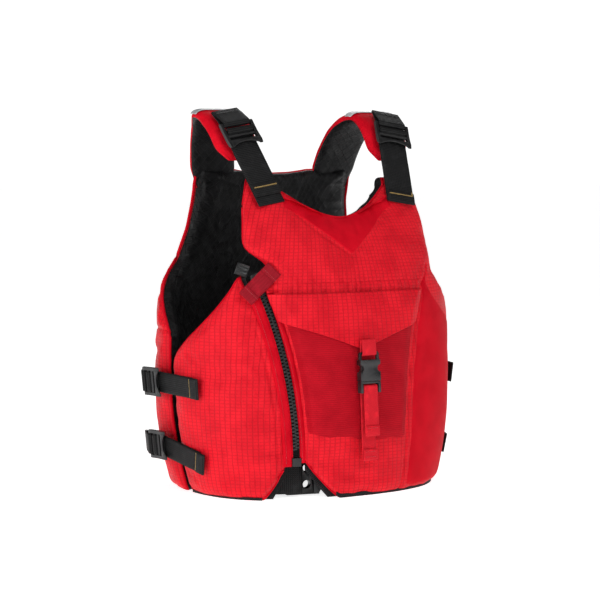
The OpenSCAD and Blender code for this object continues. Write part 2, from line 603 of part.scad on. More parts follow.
// Buckle frame: X from plug to socket, Y into the jacket, Z up, origin where the halves meet.
module at_belt() {
    translate([-45, -95.2, belt_low + wide_web / 2]) rotate([0, 0, -11.8]) children();
}
belt_buckle_h = 44;
module belt_buckle_socket() {
    h = belt_buckle_h / 2;
    color(grey) at_belt() {
        difference() {
            box([0, -5.6, -h], [34, 5.6, h]);
            box([-1, -3.4, -h + 3], [31, 3.4, h - 3]);
            for (end = [-1, 1])
                translate([14, 0, end * (h + 1)]) rotate([90, 0, 0])
                    cylinder(r = 7.5, h = 14, center = true, $fn = fine);
        }
        for (end = [-1, 1]) translate([33, -2, end * (h - 2) - 2]) cube([9, 4, 4]);
        translate([42, 0, -h]) cylinder(r = 2, h = 2 * h, $fn = fine);
    }
}
module belt_buckle_plug() {
    h = belt_buckle_h / 2;
    color(grey) at_belt() {
        difference() {
            box([-34, -5, -h], [-0.4, 5, h]);
            box([-30, -6, -h + 3], [-22, 6, h - 3]);
            box([-35, 1.6, -h + 3], [-29, 6, h - 3]);
            for (end = [-1, 1])
                translate([-9, 0, end * 10]) rotate([90, 0, 0])
                    cylinder(r = 5, h = 14, center = true, $fn = fine);
        }
        translate([-26, 0, -h + 2]) cylinder(r = 1.6, h = 2 * h - 4, $fn = fine);
        box([-1, -2.6, -2.5], [24, 2.6, 2.5]);
        for (end = [-1, 1]) {
            translate([-1, -2.6, end * 14.5 - 2]) cube([18, 5.2, 4]);
            translate([9, -2.6, end * 15.5 - 2.5]) cube([10, 5.2, 5]);
        }
    }
}
// Webbing folded round the plug's bar.
module belt_plug_web() {
    color(black) at_belt() translate([-26, 0, 0]) {
        difference() {
            translate([0, 0, -wide_web / 2]) cylinder(r = 3.5, h = wide_web, $fn = fine);
            translate([0, 0, -wide_web / 2 - 1]) cylinder(r = 2, h = wide_web + 2, $fn = fine);
        }
        box([-16, 2, -wide_web / 2], [0, 3.5, wide_web / 2]);
    }
}

translate([0, centre_y, 0]) {
    front_cover();
    front_foam_right();
    front_foam_left();
    front_lining();
    side_cover();
    side_foam();
    side_lining();
    back_cover();
    back_foam_middle_right();
    back_foam_middle_left();
    back_foam_right();
    back_foam_left();
    back_lining();
    side_gussets();
    neck_yoke();
    side_band();
    pocket_bag();
    pocket_flap();
    flap_tab();
    pocket_buckle_socket();
    pocket_buckle_plug();
    pocket_strap();
    pocket_strap_tail();
    zip_tape_front();
    zip_tape_side();
    zip_teeth_front();
    zip_teeth_side();
    zip_slider();
    zip_garage();
    zip_end_box();
    zip_keeper();
    shoulder_cover(-1);  // shoulder_cover_right
    shoulder_cover(1);  // shoulder_cover_left
    shoulder_foam(-1);  // shoulder_foam_right
    shoulder_foam(1);  // shoulder_foam_left
    shoulder_lining(-1);  // shoulder_lining_right
    shoulder_lining(1);  // shoulder_lining_left
    reflective_bands();
    shoulder_lock(-1);  // shoulder_lock_right
    shoulder_lock(1);  // shoulder_lock_left
    shoulder_web(-1);  // shoulder_web_right
    shoulder_web(1);  // shoulder_web_left
    shoulder_tail(-1, tail_right);  // shoulder_tail_right
    shoulder_tail(1, tail_left);  // shoulder_tail_left
    side_lock(-1, upper_bar);  // side_lock_upper_right
    side_lock(-1, lower_bar);  // side_lock_lower_right
    side_lock(1, upper_bar);  // side_lock_upper_left
    side_lock(1, lower_bar);  // side_lock_lower_left
    side_webs(-1);  // side_webs_right
    side_webs(1);  // side_webs_left
    side_tail(-1, upper_bar, upper_slope);  // side_tail_upper_right
    side_tail(-1, lower_bar, lower_slope);  // side_tail_lower_right
    side_tail(1, upper_bar, upper_slope);  // side_tail_upper_left
    side_tail(1, lower_bar, lower_slope);  // side_tail_lower_left
    lock_loops();
    belt_web();
    belt_buckle_socket();
    belt_buckle_plug();
    belt_plug_web();
}
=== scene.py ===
"""Looks of the paddling life jacket: padded panels, cloth trims, webbing, moulded parts, light and camera.

Lengths in the functions are millimetres, and meshes are made in metres. X runs to the wearer's left,
the front faces -Y, and Z is up.
"""

import math

import bmesh
import bpy
import numpy as np
from mathutils import Matrix, Vector
from mathutils.bvhtree import BVHTree


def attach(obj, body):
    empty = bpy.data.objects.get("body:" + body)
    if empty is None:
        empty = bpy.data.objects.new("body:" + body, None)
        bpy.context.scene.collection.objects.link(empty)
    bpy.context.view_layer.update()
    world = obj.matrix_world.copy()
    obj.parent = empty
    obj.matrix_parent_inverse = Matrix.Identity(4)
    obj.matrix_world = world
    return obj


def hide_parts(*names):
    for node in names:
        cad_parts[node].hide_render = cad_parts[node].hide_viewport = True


MM = 0.001
HOME = np.array([0, 17.07, 0])          # added to every point, so that the jacket is centred on the origin
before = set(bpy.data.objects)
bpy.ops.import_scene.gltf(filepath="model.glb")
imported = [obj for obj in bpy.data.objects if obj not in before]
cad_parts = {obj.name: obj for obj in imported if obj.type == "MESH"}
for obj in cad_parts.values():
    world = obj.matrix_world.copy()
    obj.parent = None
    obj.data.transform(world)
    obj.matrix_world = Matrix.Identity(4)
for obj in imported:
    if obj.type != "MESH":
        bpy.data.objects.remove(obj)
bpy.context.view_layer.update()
scene = bpy.context.scene
SIDES = {"right": -1, "left": 1}


# ---------- camera, floor and light ----------
# The camera's target and distance in metres, its lens in millimetres, and its azimuth and elevation.
TARGET, DISTANCE, LENS, VIEW = Vector((-0.0016, 0.0193, 0.226)), 2.4, 115.5, (-32, 4)


def aim(thing, distance, azimuth, elevation):
    """Puts a camera or lamp that far from the target, facing it."""
    a, e = math.radians(azimuth), math.radians(elevation)
    place = TARGET + distance * Vector((math.sin(a) * math.cos(e), -math.cos(a) * math.cos(e), math.sin(e)))
    thing.location = place
    thing.rotation_euler = (place - TARGET).to_track_quat("Z", "Y").to_euler()
    scene.collection.objects.link(thing)


def studio():
    lens = bpy.data.cameras.new("camera")
    lens.lens = LENS
    camera = bpy.data.objects.new("camera", lens)
    aim(camera, DISTANCE, *VIEW)
    scene.camera = camera

    for name, azimuth, elevation, distance, size, power in (
        ("key_light", -70, 8, 1.9, 0.7, 13.5),
        ("fill_light", -8, 38, 2.2, 0.7, 13),
        ("top_light", -30, 78, 1.8, 0.7, 3),
        ("rim_light", 140, 40, 2.0, 0.8, 6),
    ):
        data = bpy.data.lights.new(name, "AREA")
        data.shape = "DISK"
        data.size = size
        data.energy = power
        aim(bpy.data.objects.new(name, data), distance, azimuth, elevation)

    world = bpy.data.worlds.new("studio")
    world.use_nodes = True
    tree = world.node_tree
    # White at the horizon, where it is the backdrop, and dimmer above.
    place = tree.nodes.new("ShaderNodeTexCoord")
    split = tree.nodes.new("ShaderNodeSeparateXYZ")
    fade = tree.nodes.new("ShaderNodeMapRange")
    tree.links.new(place.outputs["Generated"], split.inputs["Vector"])
    tree.links.new(split.outputs["Z"], fade.inputs["Value"])
    for socket, value in (("From Min", 0.1), ("From Max", 0.16), ("To Min", 1.1), ("To Max", 0.2)):
        fade.inputs[socket].default_value = value
    tree.links.new(fade.outputs["Result"], tree.nodes["Background"].inputs["Strength"])
    tree.nodes["Background"].inputs["Color"].default_value = (1, 1, 1, 1)
    scene.world = world
    scene.view_settings.view_transform = "Standard"

    bm = bmesh.new()
    bmesh.ops.create_grid(bm, x_segments=2, y_segments=2, size=30)
    floor_mesh = bpy.data.meshes.new("floor")
    bm.to_mesh(floor_mesh)
    bm.free()
    floor = bpy.data.objects.new("floor", floor_mesh)
    floor.location = (0, 0, -0.2 * MM)
    scene.collection.objects.link(floor)
    paint = Look("floor_paper", (0.9, 0.9, 0.9), 0.9, Emission_Color=(1, 1, 1, 1), Emission_Strength=0.8)
    floor.data.materials.append(paint.material)


# ---------- materials ----------
class Look:
    """A procedural material. Heights are in millimetres, and cloth() gives the cloth's own millimetres."""

    def __init__(self, name, colour, roughness, **constants):
        self.material = bpy.data.materials.new(name)
        self.material.use_nodes = True
        self.tree = self.material.node_tree
        self.shader = self.tree.nodes["Principled BSDF"]
        self.put(self.shader.inputs["Base Color"], (*colour, 1))
        self.put(self.shader.inputs["Roughness"], roughness)
        for key, value in constants.items():
            self.put(self.shader.inputs[key.replace("_", " ")], value)

    def put(self, socket, value):
        if isinstance(value, bpy.types.NodeSocket):
            self.tree.links.new(value, socket)
        else:
            socket.default_value = value

    def add(self, kind, **inputs):
        node = self.tree.nodes.new(kind)
        for key, value in inputs.items():
            self.put(node.inputs[key.replace("_", " ")], value)
        return node

    def math(self, operation, a, b=0.0):
        node = self.tree.nodes.new("ShaderNodeMath")
        node.operation = operation
        self.put(node.inputs[0], a)
        self.put(node.inputs[1], b)
        return node.outputs[0]

    def times(self, a, b):
        return self.math("MULTIPLY", a, b)

    def cloth(self):
        spot = self.add("ShaderNodeUVMap")
        spot.uv_map = "cloth"
        split = self.add("ShaderNodeSeparateXYZ", Vector=spot.outputs["UV"])
        return self.times(split.outputs["X"], 1000), self.times(split.outputs["Y"], 1000)

    def ramp(self, value, start, end, low=0.0, high=1.0):
        node = self.add("ShaderNodeMapRange", Value=value, From_Min=start, From_Max=end, To_Min=low,
                        To_Max=high)
        node.interpolation_type = "SMOOTHSTEP"
        return node.outputs["Result"]

    def lines(self, x, period, width):
        """1 on evenly spaced lines, 0 between them."""
        return self.ramp(self.math("PINGPONG", x, period / 2), width / 2, width / 8)

    def wave(self, x, period):
        return self.math("SINE", self.times(x, 2 * math.pi / period))

    def noise(self, size, detail=3.0):
        """Noise from 0 to 1 with features of about size millimetres."""
        spot = self.add("ShaderNodeTexCoord").outputs["Object"]
        return self.add("ShaderNodeTexNoise", Vector=spot, Scale=1000 / size, Detail=detail).outputs["Fac"]

    def mix(self, share, a, b):
        node = self.tree.nodes.new("ShaderNodeMix")
        node.data_type = "RGBA"
        self.put(node.inputs["Factor"], share)
        for key, value in (("A", a), ("B", b)):
            socket = [s for s in node.inputs if s.name == key and s.type == "RGBA"][0]
            self.put(socket, value if isinstance(value, bpy.types.NodeSocket) else (*value, 1))
        return [s for s in node.outputs if s.type == "RGBA"][0]

    def total(self, *terms):
        result = terms[0]
        for term in terms[1:]:
            result = self.math("ADD", result, term)
        return result

    def tint(self, shade, mask, share, colour):
        """The shade with the colour over it where the mask is 1, as strongly as share says."""
        return self.mix(self.times(mask, share), shade, colour)

    def relief(self, *terms):
        """A height: the sum of the given values, each times its own depth in millimetres."""
        return self.total(*(self.times(value, depth) for value, depth in terms))

    def finish(self, height, colour, roughness=None):
        bump = self.add("ShaderNodeBump", Height=height, Distance=MM, Strength=1.0)
        self.put(self.shader.inputs["Normal"], bump.outputs["Normal"])
        self.put(self.shader.inputs["Base Color"], colour)
        if roughness is not None:
            self.put(self.shader.inputs["Roughness"], roughness)
        return self.material


def ripstop(name, colour, dark, light):
    """Light cloth puffed between a grid of sunken yarns; the upright ones are stronger."""
    look = Look(name, colour, 0.5, Sheen_Weight=0.12, Sheen_Roughness=0.4, Sheen_Tint=(1, 0.12, 0.12, 1),
                Specular_IOR_Level=0.1)
    x, y = look.cloth()
    wobble = look.times(look.noise(30), 1.2)
    x, y = look.total(x, wobble), look.total(y, wobble)
    upright, level = look.lines(x, 6.6, 2.0), look.lines(y, 4.0, 1.7)
    grid = look.math("MAXIMUM", upright, look.times(level, 0.6))
    weave = look.times(look.wave(x, 0.62), look.wave(y, 0.62))
    blotch = look.noise(26, 4)
    shade = look.mix(look.ramp(blotch, 0.3, 0.7), dark, light)
    shade = look.tint(shade, grid, 0.5, tuple(0.5 * c for c in dark))
    # painted highlight: a lighter, pinker red on the weave's raised yarns
    shade = look.tint(shade, look.ramp(weave, 0.1, 0.9), 0.1, (0.9, 0.05, 0.06))
    height = look.relief((grid, -0.28), (weave, 0.03), (look.noise(7, 3), 0.5))
    return look.finish(height, shade, look.ramp(blotch, 0.2, 0.8, 0.42, 0.56))


def plain_cloth(name, colour, dark, light, period=0.55, crumple=0.4):
    """Plain woven cloth: period is the weave's pitch, and crumple the depth of its creases."""
    look = Look(name, colour, 0.62, Sheen_Weight=0.04, Sheen_Roughness=0.45, Sheen_Tint=(1, 0.02, 0.04, 1),
                Specular_IOR_Level=0.04)
    x, y = look.cloth()
    weave = look.times(look.wave(x, period), look.wave(y, period))
    yarn = look.times(look.wave(x, 2.2 * period), 0.5)
    shade = look.mix(look.ramp(look.noise(22, 4), 0.3, 0.7), dark, light)
    # painted highlight: a lighter red on the weave's raised yarns
    shade = look.tint(shade, look.ramp(weave, -0.2, 0.9), 0.14, (0.85, 0.02, 0.03))
    height = look.relief((weave, 0.05), (yarn, 0.02), (look.noise(8, 3), crumple))
    return look.finish(height, shade)


def pocket_cloth(name):
    """Ribbed stretch mesh: level ribs, crossed by finer upright stitches."""
    look = Look(name, (0.5, 0.005, 0.018), 0.68, Sheen_Weight=0.08, Sheen_Roughness=0.5,
                Sheen_Tint=(1, 0.1, 0.12, 1), Specular_IOR_Level=0.08)
    x, y = look.cloth()
    y = look.total(y, look.times(look.noise(60), 2.0))
    rib = look.lines(y, 2.4, 2.0)
    stitch = look.wave(x, 1.25)
    shade = look.mix(look.ramp(look.noise(18, 4), 0.3, 0.7), (0.4, 0.002, 0.01), (0.5, 0.004, 0.014))
    shade = look.tint(shade, look.math("SUBTRACT", 1.0, rib), 0.5, (0.26, 0.001, 0.007))
    shade = look.tint(shade, look.ramp(stitch, -0.5, 0.9), 0.25, (0.33, 0.001, 0.009))
    height = look.relief((rib, 0.16), (stitch, 0.05), (look.noise(12, 2), 0.5))
    return look.finish(height, shade)


def webbing_look(name, dark, light, lengthwise, crosswise, gloss=0.55):
    """Woven webbing: rows of yarn along it, crossed by slanting ribs, and worn in places."""
    look = Look(name, light, gloss, Specular_IOR_Level=0.14)
    x, y = look.cloth()
    rows = look.wave(x, lengthwise)
    slant = look.total(y, look.times(look.math("PINGPONG", x, lengthwise / 2), 0.8))
    ribs = look.wave(slant, crosswise)
    worn = look.noise(9, 4)
    shade = look.mix(look.ramp(ribs, -0.8, 0.8), dark, light)
    shade = look.tint(shade, look.ramp(rows, 0.2, 1.0), 0.45, dark)
    shade = look.tint(shade, look.ramp(worn, 0.5, 0.8), 0.4, tuple(1.6 * c for c in light))
    height = look.relief((rows, 0.07), (ribs, 0.11), (worn, 0.15))
    return look.finish(height, shade)


def lining_look(name):
    """Glossy black cloth, quilted in small diamonds and creased."""
    look = Look(name, (0.004, 0.004, 0.0045), 0.42, Specular_IOR_Level=0.2)
    x, y = look.cloth()
    x = look.total(x, look.times(look.noise(40), 5))
    a, b = look.total(x, y), look.math("SUBTRACT", x, y)
    cross = look.math("MAXIMUM", look.lines(a, 11.0, 2.4), look.lines(b, 11.0, 2.4))
    weave = look.times(look.wave(x, 0.9), look.wave(y, 0.9))
    crease = look.noise(20, 6)
    shade = look.mix(look.ramp(look.noise(14, 5), 0.35, 0.75), (0.001, 0.001, 0.0012), (0.005, 0.005, 0.0056))
    height = look.relief((cross, -0.3), (weave, 0.04), (crease, 3.2))
    return look.finish(height, shade, look.ramp(look.noise(9, 3), 0.3, 0.7, 0.3, 0.5))


def moulded(name, dark, light, rough):
    """Injection-moulded plastic: fine spark texture, faint flow marks and rubbed spots."""
    look = Look(name, light, rough, Specular_IOR_Level=0.5)
    grain, flow = look.noise(0.5, 2), look.noise(14, 3)
    shade = look.mix(look.ramp(flow, 0.35, 0.7), dark, light)
    shade = look.tint(shade, look.ramp(look.noise(2.5, 5), 0.6, 0.8), 0.35, tuple(2.2 * c for c in light))
    return look.finish(look.relief((grain, 0.05), (flow, 0.2)), shade,
                       look.ramp(flow, 0.3, 0.7, rough - 0.06, rough + 0.1))


def thread_look(name, dark, light):
    """Twisted sewing thread."""
    look = Look(name, light, 0.45, Sheen_Weight=0.3, Specular_IOR_Level=0.45)
    spot = look.add("ShaderNodeTexCoord").outputs["Object"]
    twist = look.add("ShaderNodeTexWave", Vector=spot, Scale=900.0, Distortion=2.0)
    return look.finish(look.times(twist.outputs["Fac"], 0.12),
                       look.mix(twist.outputs["Fac"], dark, light))


def reflective_look(name):
    """Retroreflective tape: pale grey glass-bead film with a faint diamond grid and scuffs."""
    look = Look(name, (0.5, 0.51, 0.52), 0.34, Metallic=0.35, Specular_IOR_Level=0.6)
    x, y = look.cloth()
    a, b = look.total(x, y), look.math("SUBTRACT", x, y)
    grid = look.math("MAXIMUM", look.lines(a, 3.0, 0.5), look.lines(b, 3.0, 0.5))
    beads = look.noise(0.35, 2)
    shade = look.mix(look.ramp(look.noise(12, 4), 0.3, 0.7), (0.42, 0.43, 0.45), (0.66, 0.67, 0.68))
    shade = look.tint(shade, grid, 0.4, (0.3, 0.3, 0.32))
    return look.finish(look.relief((beads, 0.05), (grid, -0.05)), shade)


LOOKS = {
    "ripstop_red": ripstop("ripstop_red_cloth", (0.68, 0.006, 0.017), (0.6, 0.004, 0.014),
                           (0.77, 0.009, 0.021)),
    "plain_red": plain_cloth("plain_red_cloth", (0.55, 0.002, 0.01), (0.5, 0.001, 0.01), (0.6, 0.003, 0.014)),
    # gusset cloth: its own red, darkened further as painted shade for the narrow side gaps
    "gusset_red_painted_shade": plain_cloth("gusset_cloth", (0.3, 0.001, 0.008), (0.2, 0.0, 0.005), (0.36, 0.002, 0.01),
                            1.1, 0.9),
    "pocket_red": pocket_cloth("pocket_ribbed_cloth"),
    "red_webbing": webbing_look("red_webbing", (0.5, 0.004, 0.014), (0.78, 0.014, 0.028), 1.6, 1.3, 0.6),
    "dark_red_webbing": webbing_look("dark_red_webbing", (0.2, 0.002, 0.008), (0.38, 0.005, 0.017), 3.4, 1.0,
                                     0.6),
    "black_webbing": webbing_look("black_webbing", (0.001, 0.001, 0.0012), (0.02, 0.02, 0.0205), 2.4, 2.3),
    "black_lining": lining_look("black_lining_cloth"),
    "black_binding": webbing_look("black_binding", (0.003, 0.003, 0.003), (0.018, 0.018, 0.019), 30, 2.4, 0.6),
    "black_plastic": moulded("black_plastic", (0.003, 0.003, 0.0033), (0.01, 0.01, 0.0105), 0.34),
    "buckle_plastic": moulded("buckle_plastic", (0.006, 0.006, 0.0066), (0.02, 0.02, 0.0215), 0.3),
    "reflective": reflective_look("reflective_tape"),
    "gold_thread": thread_look("gold_thread", (0.32, 0.17, 0.02), (0.72, 0.47, 0.1)),
    "red_thread": thread_look("red_thread", (0.3, 0.002, 0.008), (0.62, 0.02, 0.03)),
    "black_thread": thread_look("black_thread", (0.004, 0.004, 0.004), (0.03, 0.03, 0.03)),
}


# ---------- mesh helpers ----------
def new_piece(name, points, faces, cloth, looks, face_looks=None):
    """A mesh from points in millimetres; cloth holds each point's place on the flat cloth, in millimetres."""
    mesh = bpy.data.meshes.new(name)
    points = np.asarray(points, float).reshape(-1, 3)
    mesh.from_pydata((points + HOME) * MM, [], faces)
    if cloth is not None:
        layer = mesh.uv_layers.new(name="cloth")
        corners = np.zeros(len(mesh.loops), np.int32)
        mesh.loops.foreach_get("vertex_index", corners)
        layer.data.foreach_set("uv", (np.asarray(cloth, float).reshape(-1, 2)[corners] * MM).ravel())
    for look in looks:
        mesh.materials.append(LOOKS[look])
    if face_looks is not None:
        mesh.polygons.foreach_set("material_index", np.asarray(face_looks, np.int32))
    mesh.polygons.foreach_set("use_smooth", np.ones(len(mesh.polygons), bool))
    mesh.update()
    piece = bpy.data.objects.new(name, mesh)
    scene.collection.objects.link(piece)
    return piece


def apply_modifiers(piece):
    """The piece keeps the shape that its modifiers give, and has none left."""
    graph = bpy.context.evaluated_depsgraph_get()
    shaped = bpy.data.meshes.new_from_object(piece.evaluated_get(graph), preserve_all_data_layers=True,
                                             depsgraph=graph)
    old = piece.data
    piece.modifiers.clear()
    piece.data = shaped
    bpy.data.meshes.remove(old)
    shaped.name = piece.name


def refine(piece, levels):
    modifier = piece.modifiers.new("refine", "SUBSURF")
    modifier.levels = modifier.render_levels = levels
    modifier.uv_smooth = "NONE"
    apply_modifiers(piece)
    piece.data.polygons.foreach_set("use_smooth", np.ones(len(piece.data.polygons), bool))


def read_all(items, field):
    out = np.zeros(len(items) * 3)
    items.foreach_get(field, out)
    return out.reshape(-1, 3)


def spots(mesh):
    """The mesh's points in millimetres."""
    return read_all(mesh.vertices, "co") / MM - HOME


def set_spots(piece, points):
    piece.data.vertices.foreach_set("co", ((points + HOME) * MM).ravel())
    piece.data.update()


def grid_faces(ns, nv, start=0, flip=False):
    """Quads of a grid whose points run s first; the face normal is d(s) x d(v), or the opposite."""
    j, i = np.meshgrid(np.arange(nv - 1), np.arange(ns - 1), indexing="ij")
    a = start + (j * ns + i).ravel()
    quads = np.stack([a, a + 1, a + ns + 1, a + ns], 1)
    return (quads[:, ::-1] if flip else quads).tolist()


def rim_loop(ns, nv):
    """A grid's outline, as indices that run once round it, s first."""
    low, right = list(range(ns)), [j * ns + ns - 1 for j in range(1, nv)]
    high, left = [(nv - 1) * ns + i for i in range(ns - 2, -1, -1)], [j * ns for j in range(nv - 2, 0, -1)]
    return np.array(low + right + high + left)


def slab_faces(ns, nv, walls=0):
    """Faces of a closed slab: a grid of points, the grid under it, and the rings of its wall."""
    n, rim = ns * nv, rim_loop(ns, nv)
    rows = [rim] + [2 * n + k * len(rim) + np.arange(len(rim)) for k in range(walls)] + [rim + n]
    faces = grid_faces(ns, nv) + grid_faces(ns, nv, n, flip=True)
    for high, low in zip(rows[:-1], rows[1:]):
        faces += [tuple(int(i) for i in quad) for quad in zip(high, low, np.roll(low, -1), np.roll(high, -1))]
    return faces


def tube_faces(rings, n, start=0):
    """Faces of a closed solid through rings of n points each, numbered from start."""
    last = start + (rings - 1) * n
    faces = [(a + i, a + (i + 1) % n, a + n + (i + 1) % n, a + n + i)
             for a in range(start, last, n) for i in range(n)]
    return faces + [tuple(range(start, start + n))[::-1], tuple(range(last, last + n))]


def run_along(line):
    """Distance along a line of points, at each point."""
    return np.concatenate([[0], np.cumsum(np.linalg.norm(np.diff(line, axis=0), axis=1))])


def clip01(x):
    return np.clip(x, 0, 1)


def smooth(x):
    """Eases from 0 to 1, level at both ends."""
    return x * x * (3 - 2 * x)


def soft_noise(x, y, seed):
    """Smooth noise from -1 to 1; one cell is 1 by 1."""
    x, y = np.broadcast_arrays(np.asarray(x, float), np.asarray(y, float))
    ix, iy = np.floor(x).astype(np.int64), np.floor(y).astype(np.int64)
    fx, fy = x - ix, y - iy
    fx, fy = smooth(fx), smooth(fy)

    def corner(a, b):
        h = (a * 374761393 + b * 668265263 + seed * 974634777) & 0xFFFFFFFF
        h = ((h ^ (h >> 13)) * 1274126177) & 0xFFFFFFFF
        return ((h ^ (h >> 16)) & 0xFFFF) / 32767.5 - 1

    low = corner(ix, iy) * (1 - fx) + corner(ix + 1, iy) * fx
    high = corner(ix, iy + 1) * (1 - fx) + corner(ix + 1, iy + 1) * fx
    return low * (1 - fy) + high * fy


def spline(points, step):
    """Points about step millimetres apart on a smooth curve through the given ones."""
    p = np.asarray(points, float)
    p = np.vstack([2 * p[0] - p[1], p, 2 * p[-1] - p[-2]])
    out = []
    for a, b, c, d in zip(p[:-3], p[1:-2], p[2:-1], p[3:]):
        n = max(1, int(round(np.linalg.norm(c - b) / step)))
        for t in np.arange(n) / n:
            out.append(0.5 * (2 * b + (c - a) * t + (2 * a - 5 * b + 4 * c - d) * t**2
                              + (3 * b - a - 3 * c + d) * t**3))
    out.append(p[-2])
    return np.array(out)


def unit(v):
    v = np.asarray(v, float)
    return v / np.linalg.norm(v, axis=-1, keepdims=True)


class Frame:
    """A local frame: place() takes points from it to the jacket's frame, and turn() takes directions."""

    def __init__(self, origin, x_dir, y_dir, z_dir=None):
        x_dir, y_dir = np.asarray(x_dir, float), np.asarray(y_dir, float)
        z_dir = np.cross(x_dir, y_dir) if z_dir is None else z_dir
        self.axes = np.stack([x_dir, y_dir, z_dir], 1)
        self.origin = np.asarray(origin, float)

    def place(self, points):
        return np.asarray(points, float) @ self.axes.T + self.origin

    def turn(self, directions):
        return np.asarray(directions, float) @ self.axes.T

    def moved(self, shift, x_turn=0.0, z_turn=0.0):
        """The frame moved along its own axes, then turned about its own X or Z axis, in degrees."""
        a, b = math.radians(x_turn), math.radians(z_turn)
        about_x = np.array([[1, 0, 0], [0, math.cos(a), -math.sin(a)], [0, math.sin(a), math.cos(a)]])
        about_z = np.array([[math.cos(b), -math.sin(b), 0], [math.sin(b), math.cos(b), 0], [0, 0, 1]])
        axes = self.axes @ about_x @ about_z
        return Frame(self.place(shift), axes[:, 0], axes[:, 1], axes[:, 2])


def ribbon(name, middle, across, width, thick, look, ripple=0.15, seed=1):
    """Flat webbing: middle is its line, across the unit directions over its width, thick its thickness."""
    middle = np.asarray(middle, float)
    across = np.broadcast_to(across, middle.shape)
    along = unit(np.gradient(middle, axis=0))
    out = unit(np.cross(across, along))
    length = run_along(middle)
    middle = middle + out * (ripple * soft_noise(length / 17, seed, seed))[:, None]
    n = 9
    x = np.linspace(-1, 1, n)
    high = (thick / 2) * (1 - 0.12 * (np.abs(x) > 0.9) + 0.1 * (np.abs(x) > 0.7))
    shares = np.concatenate([x, [1.0], x[::-1], [-1.0]])
    rise = np.concatenate([high * 0.86, [0.0], -high[::-1] * 0.86, [0.0]])
    half = np.full(len(shares), width / 2)
    half[[0, n - 1, n + 1, 2 * n]] -= 0.25 * thick
    wobble = 1 + 0.004 * soft_noise(length / 9, seed + 5, seed)
    points = (middle[:, None] + across[:, None] * (shares * half)[None, :, None] * wobble[:, None, None]
              + out[:, None] * rise[None, :, None])
    cloth = np.stack([np.broadcast_to(shares * width / 2, points.shape[:2]),
                      np.broadcast_to(length[:, None], points.shape[:2])], -1)
    return new_piece(name, points, tube_faces(len(middle), len(shares)), cloth, [look])


def strap(name, where, path, width, thick, look, step=1.6, **more):
    """A ribbon in a frame: path holds (Y, Z) pairs, and its width lies along the frame's X."""
    line = spline([(0, y, z) for y, z in path], step)
    return ribbon(name, where.place(line), where.turn([1, 0, 0]), width, thick, look, **more)


def threads(name, runs, radius, look, sides):
    """Stitches: each run is a list of points that one round thread follows."""
    points, faces, cloth = [], [], []
    for run in runs:
        run = np.asarray(run, float)
        length = run_along(run)
        along = unit(np.gradient(run, axis=0))
        helper = np.where(np.abs(along[:, 2:]) < 0.9, [[0, 0, 1]], [[1, 0, 0]])
        u = unit(np.cross(along, helper))
        w = np.cross(along, u)
        start, n = len(points), len(run)
        size = np.full(n, radius)
        size[[0, -1]] *= 0.55
        for k in range(n):
            for a in np.arange(sides) * 2 * math.pi / sides:
                points.append(run[k] + size[k] * (math.cos(a) * u[k] + math.sin(a) * w[k]))
                cloth.append((a * radius, length[k]))
        faces += tube_faces(n, sides, start)
    return new_piece(name, points, faces, cloth, [look])


STITCH_SHARE, STITCH_DIP = 0.72, 0.35   # share of the pitch that a stitch takes, and how far its ends sink


def stitched(line, lift_dir, pitch=3.2):
    """Stitch runs along a line: each rises at its middle and sinks at both ends."""
    line = np.asarray(line, float)
    lift_dir = np.broadcast_to(lift_dir, line.shape)
    length = run_along(line)
    runs = []
    for k in range(int(length[-1] / pitch)):
        at = k * pitch + STITCH_SHARE * pitch * np.linspace(0, 1, 4)
        p = np.stack([np.interp(at, length, line[:, i]) for i in range(3)], 1)
        n = np.stack([np.interp(at, length, lift_dir[:, i]) for i in range(3)], 1)
        runs.append(p + n * np.array([-STITCH_DIP, 0.12, 0.12, -STITCH_DIP])[:, None])
    return runs


def ride_all(body, *pieces):
    for piece in pieces:
        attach(piece, body)


# ---------- the body's outer surface, as in the CAD ----------
ROUND = 2.5


def front_at(z):
    """How far the body's front is from its middle at height z."""
    return 140 - 0.00035 * (z - 30) ** 2 - 0.0015 * np.maximum(0, z - 230) ** 2


def back_at(z):
    """How far the body's back is from its middle at height z."""
    return 125 - 0.0005 * (z - 100) ** 2


def half_w_at(z):
    """Half the body's width at height z."""
    return 186 - 0.001 * (np.minimum(z, 150) - 150) ** 2


def skin(t, z, d=0.0):
    """Point at polar angle t (0 front, 90 wearer's left, 180 back) and height z, at depth d."""
    t, z, d = np.broadcast_arrays(np.radians(t), np.asarray(z, float), np.asarray(d, float))
    deep = np.where(np.cos(t) >= 0, front_at(z), back_at(z)) - d
    wide = half_w_at(z) - d
    r = ((np.abs(np.sin(t)) / wide) ** ROUND + (np.abs(np.cos(t)) / deep) ** ROUND) ** (-1 / ROUND)
    return np.stack([r * np.sin(t), -r * np.cos(t), z], -1)


def front_angle(x, z):
    """Polar angle of the front's point at sideways distance x."""
    side = np.abs(x) / half_w_at(z)
    return np.degrees(np.arctan2(x, front_at(z) * (1 - side**ROUND) ** (1 / ROUND)))


def back_angle(x, z):
    """Polar angle of the back's point at sideways distance x."""
    side = np.abs(x) / half_w_at(z)
    return 180 - np.degrees(np.arctan2(x, back_at(z) * (1 - side**ROUND) ** (1 / ROUND)))


def pad_at(z, full):
    """A panel's thickness: full, but thinner towards the hem."""
    return np.minimum(full, 20 + 0.5 * np.maximum(0, z - 46))


RING_T = np.linspace(-360, 360, 2881)
RING_RUN = run_along(skin(RING_T, 150.0))
RING_RUN -= np.interp(0, RING_T, RING_RUN)


def girth(t):
    """Distance round the body from the middle of the front to polar angle t."""
    return np.interp(t, RING_T, RING_RUN)


# The zip is an arc of one circle.
ZIP_LOW_Z, ZIP_TOP_Z, ZIP_SINK = 52.0, 258.0, 8


def on_front(x, z, d):
    """Point of the front at sideways distance x and height z, at depth d."""
    return skin(front_angle(x, z), z, d)


